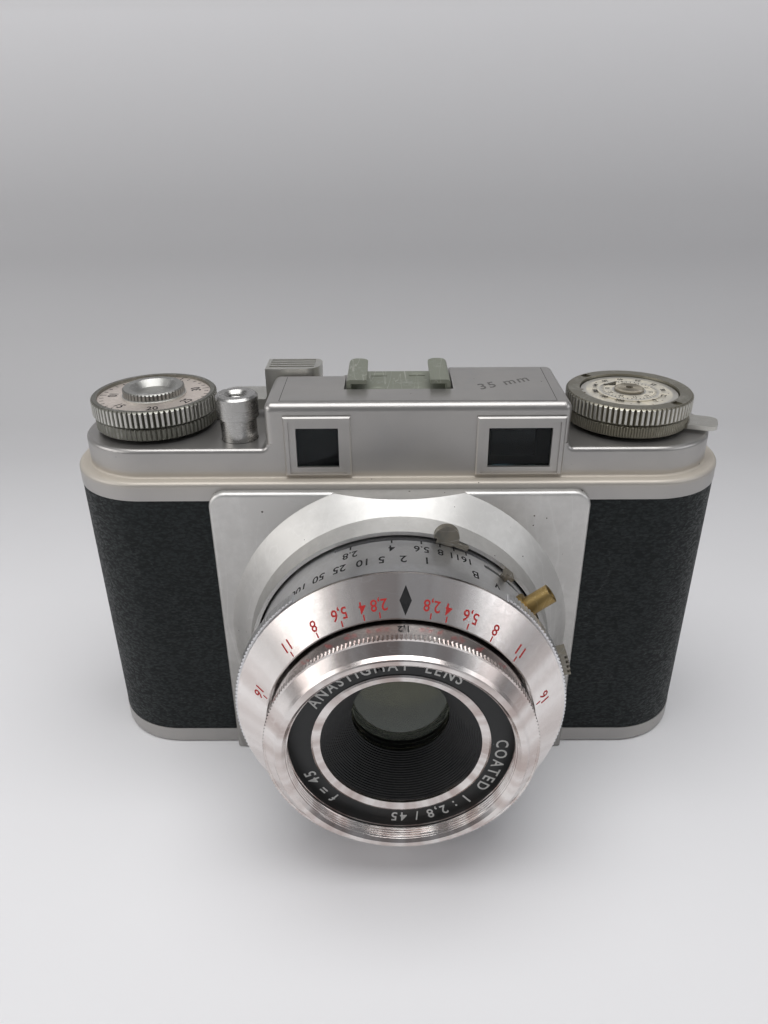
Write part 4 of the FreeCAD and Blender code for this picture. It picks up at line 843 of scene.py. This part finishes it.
def on_top(centre, z, angle, radius):
    """On a flat dial facing up, reading anticlockwise from above with its top towards the middle."""
    def place(u, v, w):
        r = radius - v
        a = math.radians(angle) + u / radius
        return np.stack([centre[0] + r * np.sin(a), centre[1] - r * np.cos(a), z + INK * w + 0 * r], -1)
    return place


def laid(name, marks, material, body):
    """One object from many (mesh, placing rule) pairs, painted and riding on a body."""
    corners, faces, first = [], [], 0
    for (flat, flat_faces), place in marks:
        corners.append(place(flat[:, 0], flat[:, 1], flat[:, 2]))
        faces += [tuple(v + first for v in face) for face in flat_faces]
        first += len(flat)
    made = mesh_object(name, np.concatenate(corners), faces, False)
    made.data.materials.append(material)
    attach(made, body)
    print(name, len(marks), "marks,", len(faces), "faces")
    return made


def numbered(angles, rule, height, at, tick, tick_at):
    """A numeral and a tick for each (label, angle); the rule takes an angle and a place across the scale."""
    marks = []
    for label, angle in angles:
        marks += [(letter_mesh(label, height), rule(angle, at)), (bar_mesh(*tick), rule(angle, tick_at))]
    return marks


def paint_fill(name, colour, rough=0.5):
    """Enamel rubbed into an engraving: slightly uneven colour, and worn thin in patches."""
    material, tree, shader = new_material(name, Specular_IOR_Level=0.2)
    thin = times(tree, grime(tree, 2.5, 0.5), 0.2)
    join(shader, Base_Color=blend(tree, thin, (*colour, 1), (*(c * 0.6 + 0.06 for c in colour), 1)),
         Roughness=times(tree, cloud(tree, 0.6), 0.2, rough), Normal=bump(tree, cloud(tree, 0.3), 0.01, 0.5))
    return material


BLACK_FILL = paint_fill("black_fill", (0.006, 0.006, 0.007))
RED_FILL = paint_fill("red_fill", (0.42, 0.022, 0.02), 0.4)
WHITE_FILL = paint_fill("white_fill", (0.62, 0.62, 0.60), 0.4)

# %% [markdown]
# The barrel carries two rows. The row near the body is the aperture, which a pointer on the aperture lever moves
# along; the row near the lens is the shutter speed. B keeps the shutter open, and V is the self-timer.

# %% Aperture and speed rows
APERTURES = {"2.8": -18.5, "4": -3.0, "5.6": 7.9, "8": 14.9, "11": 20.3, "16": 25.3}
SPEEDS = {"300": -52.8, "100": -40.0, "50": -30.7, "25": -22.3, "10": -13.3, "5": -6.6, "2": 1.1, "1": 9.5, "B": 28.1}
APERTURE_Y, SPEED_Y = BARREL_FRONT_Y + 7.5, BARREL_FRONT_Y + 3.8
barrel = partial(on_barrel, BARREL_R)
scale_marks = numbered(APERTURES.items(), barrel, 1.95, APERTURE_Y, (0.28, 1.1), APERTURE_Y + 2.25)
scale_marks += numbered(SPEEDS.items(), barrel, 2.15, SPEED_Y, (0.28, 0.9), SPEED_Y - 2.2)
scale_marks.append((letter_mesh("V", 2.15), barrel(37.6, SPEED_Y)))
laid("barrel_scales", scale_marks, BLACK_FILL, "body")
red_marks = [(bar_mesh(0.5, 1.0), barrel(31.4, SPEED_Y - 2.2)), (bar_mesh(0.35, 1.4), barrel(45.0, SPEED_Y))]
laid("barrel_red_marks", red_marks, RED_FILL, "body")

# %% [markdown]
# The polished cone in front carries the depth of field: the same apertures in red, mirrored either side of a black
# diamond, each with a tick that points at the distance on the ring inside it.

# %% Depth of field scale
DIAMOND = 1.7
DEPTH_MARKS = {"2,8": 9.7, "4": 15.9, "5,6": 24.8, "8": 35.9, "11": 49.7, "16": 74.7}
cone_back = (high("depth_scale_ring")[1] - 0.5, SCALE_R)
cone_front = (SCALE_FRONT_Y, SCALE_R - 5.6)
cone = partial(on_cone, cone_back, cone_front)
depth_angles = [(label, DIAMOND + sense * spread) for label, spread in DEPTH_MARKS.items() for sense in (-1, 1)]
depth_marks = numbered(depth_angles, cone, 1.95, 25.95, (0.22, 1.0), 24.6)
laid("depth_scale", depth_marks, RED_FILL, "body")


def diamond_mesh(width, length, rows=9):
    """A lozenge: a bar whose width shrinks in a straight line from its middle to both ends."""
    corners, faces = bar_mesh(length, 1.0, rows)
    share = 1.0 - np.abs(corners[:, 0]) / (length / 2)
    return np.stack([corners[:, 1] * (0.02 + share * width), -corners[:, 0], corners[:, 2]], -1), faces


laid("index_diamond", [(diamond_mesh(2.0, 5.0), cone(DIAMOND, 26.3))], BLACK_FILL, "body")

# %% [markdown]
# The focusing ring turns inside that cone, so its distances ride on the ring's own body. The one under the diamond
# is the nearest; the others follow round it and come up as the ring is turned towards infinity.

# %% Distance scale
FOCUS_R = half_width("focus_ring") - 0.35
BAND_Y = high("focus_ring")[1] - 3.0
DISTANCES = {"1,2": 1.2, "1,5": 62.0, "2": 104.0, "3": 140.0, "5": 172.0, "10": 198.0, "∞": 226.0}
distance_marks = numbered(DISTANCES.items(), partial(on_barrel, FOCUS_R), 1.5, BAND_Y - 0.35,
                          (0.2, 0.5), BAND_Y + 1.4)
laid("distance_scale", distance_marks, BLACK_FILL, "focus")

# %% [markdown]
# The black name ring says only what kind of lens it is, in plain capitals.

# %% Lens lettering
NAME_R = 17.35


def round_text(text, angle):
    return letter_mesh(text, 2.1, 1.3), on_face(NAME_Y, angle, NAME_R)


name_marks = [round_text("ANASTIGMAT  LENS", -12.0), round_text("COATED  1 : 2,8 / 45", 136.0),
              round_text("f = 45", 236.0)]
laid("lens_lettering", name_marks, WHITE_FILL, "focus")

# %% [markdown]
# ## Dials on the knobs
# The frame counter runs from 1 to 36 round its dial, and the film reminder carries two rings of film speeds.

# %% Counter and reminder marks
DIAL_TOP = high("counter_dial")[2]
counter_marks = []
for frame_number in range(36):
    angle = (frame_number - 20) * 10.0 + 12.0
    if frame_number % 5 == 0:
        counter_marks.append((letter_mesh(str(frame_number), 1.9), on_top(COUNTER, DIAL_TOP, angle, 8.5)))
    counter_marks.append((bar_mesh(0.2, 0.8 if frame_number % 5 else 1.3), on_top(COUNTER, DIAL_TOP, angle, 10.4)))
laid("counter_marks", counter_marks, BLACK_FILL, "counter")
FILM_TOP = high("film_dial")[2]
film_marks = [(letter_mesh(label, 1.0), on_top(FILM_DIAL, FILM_TOP, 30.0 * place, 6.9))
              for place, label in enumerate("6 9 12 18 25 32 40 50 64 100 160 200".split())]
film_marks += [(bar_mesh(0.16, 0.5), on_top(FILM_DIAL, FILM_TOP, 9.0 * place, 5.2)) for place in range(40)]
film_marks += [(letter_mesh(label, 0.8), on_top(FILM_DIAL, FILM_TOP, 36.0 * place, 4.3))
               for place, label in enumerate("11 13 15 17 19 21 23 25 27 29".split())]
laid("film_speed_marks", film_marks, BLACK_FILL, "film_reminder")

# %% [markdown]
# ## Engraving on the housing
# The housing's top carries a fine border line and a slanting line of script, cut with a pantograph. Here the script
# only says what film the camera takes. Both are laid on the flat top, a few hundredths of a millimetre proud.

# %% Housing marks
HOUSING_TOP = 81.3
BORDER = ((-22.6, 2.0), (-22.6, -12.4), (29.6, -12.9), (29.9, 7.4))


def on_deck(x, y, degrees):
    """On a level surface: turned by an angle about the vertical, then moved to a place."""
    c, s = math.cos(math.radians(degrees)), math.sin(math.radians(degrees))

    def place(u, v, w):
        return np.stack([x + c * u - s * v, y + s * u + c * v, HOUSING_TOP + INK * w + 0 * u], -1)
    return place


GREY_FILL = paint_fill("grey_fill", (0.10, 0.095, 0.09), 0.35)
housing_marks = [(letter_mesh("35 mm", 3.0, 1.2, 0.35), on_deck(20.6, -2.6, 27.0))]
for (x0, y0), (x1, y1) in zip(BORDER, BORDER[1:]):
    length, turn = math.hypot(x1 - x0, y1 - y0), math.degrees(math.atan2(y1 - y0, x1 - x0))
    housing_marks.append((bar_mesh(length, 0.14), on_deck((x0 + x1) / 2, (y0 + y1) / 2, turn)))
laid("housing_marks", housing_marks, GREY_FILL, "body")

# %% [markdown]
# ## Screw threads
# Three holes are tapped: the lens's front rim for a filter, the release button for a cable, and the base for a tripod
# screw. A real thread is one groove that winds along the hole. Travel along the hole, counted in pitches, minus the
# turn round it, gives a wave whose crest does exactly that.

# %% Thread surfaces
def thread_liner(name, like, body, start, axis, radius, pitch, depth, length):
    """A threaded wall: radius less depth times a raised cosine of travel over pitch minus turn, closed at the back.
    It takes the material of the node it is like, and rides on a body."""
    axis = np.array(axis, float)
    first = np.cross(axis, (0.3, 0.5, 0.81))
    first /= np.linalg.norm(first)
    second = np.cross(axis, first)
    travel = np.linspace(0, length, int(length / pitch * 8) + 1)[:, None]
    turn = np.linspace(0, 2 * math.pi, 121)[:-1][None, :]
    crest = (0.5 + 0.5 * np.cos(2 * math.pi * travel / pitch - turn)) ** 1.4
    fade = np.clip(np.minimum(travel, length - travel) / (0.6 * pitch), 0, 1)
    wall = radius - depth * crest * fade
    back = np.full((2, turn.shape[1]), radius + 0.12)
    far = np.concatenate([wall, back, wall[:1]])
    along = np.concatenate([travel, travel[-1:], travel[:1], travel[:1]])
    points = (np.array(start) + along[..., None] * axis
              + far[..., None] * (np.cos(turn)[..., None] * first + np.sin(turn)[..., None] * second))
    faces = grid_faces(len(far) - 1, turn.shape[1], True)
    seam = grid_faces(2, turn.shape[1], True)
    seam = np.where(seam < turn.shape[1], seam + (len(far) - 2) * turn.shape[1], seam - turn.shape[1])
    made = mesh_object(name, points[:-1].reshape(-1, 3), np.concatenate([faces, seam])[:, ::-1])
    made.data.materials.append(nodes[like].data.materials[0])
    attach(made, body)
    print(name, len(made.data.polygons), "faces")
    return made


RIM_Y = low("focus_ring")[1]
filter_thread = thread_liner("filter_thread", "focus_ring", "focus", (LENS[0], RIM_Y + 2.9, LENS[2]), (0, -1, 0),
                             19.72, 0.5, 0.3, 2.4)
cable_start = (RELEASE[0], RELEASE[1], high("release_button")[2] - 3.2)
cable_thread = thread_liner("cable_thread", "release_button", "release", cable_start, (0, 0, 1), 1.58, 0.5, 0.22, 2.4)
tripod_thread = thread_liner("tripod_thread", "tripod_bush", "body", (0, 0, 0.4), (0, 0, 1), 2.53, 1.27, 0.35, 6.2)

# %% [markdown]
# ## The release spring
# The spring under the release button is the one piece of the real camera that changes its shape. It is a round wire
# wound into a helix: a circle, square to the path, carried up five turns. On the camera the whole coil flattens when
# the button goes down; here it keeps one shape and rides on the body.

# %% Release spring
def coil(name, centre, bottom, top, coil_r, wire_r, turns):
    """A helix of round wire: each ring of corners is a circle in the plane of the outward line and the axis."""
    along = np.linspace(0, 1, turns * 36 + 1)[:, None]
    swing, round_wire = 2 * math.pi * turns * along, np.linspace(0, 2 * math.pi, 13)[:-1][None, :]
    radius = coil_r + wire_r * np.cos(round_wire)
    height = bottom + wire_r + (top - bottom - 2 * wire_r) * along + wire_r * np.sin(round_wire)
    points = np.stack([centre[0] + radius * np.cos(swing), centre[1] + radius * np.sin(swing), height], -1)
    rings, sides = height.shape
    ends = [range(sides), range(rings * sides - 1, (rings - 1) * sides - 1, -1)]
    made = mesh_object(name, points.reshape(-1, 3), [*grid_faces(rings, sides, True)[:, ::-1], *ends])
    made.data.materials.append(nodes["release_spring"].data.materials[0])
    return made


spring_low, spring_high = low("release_spring")[2], high("release_spring")[2]
spring = coil("release_coil", RELEASE, spring_low, spring_high, 2.0, 0.22, 5)
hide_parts("release_spring")
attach(spring, "body")
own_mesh(spring)
print(spring.name, len(spring.data.polygons), "faces")
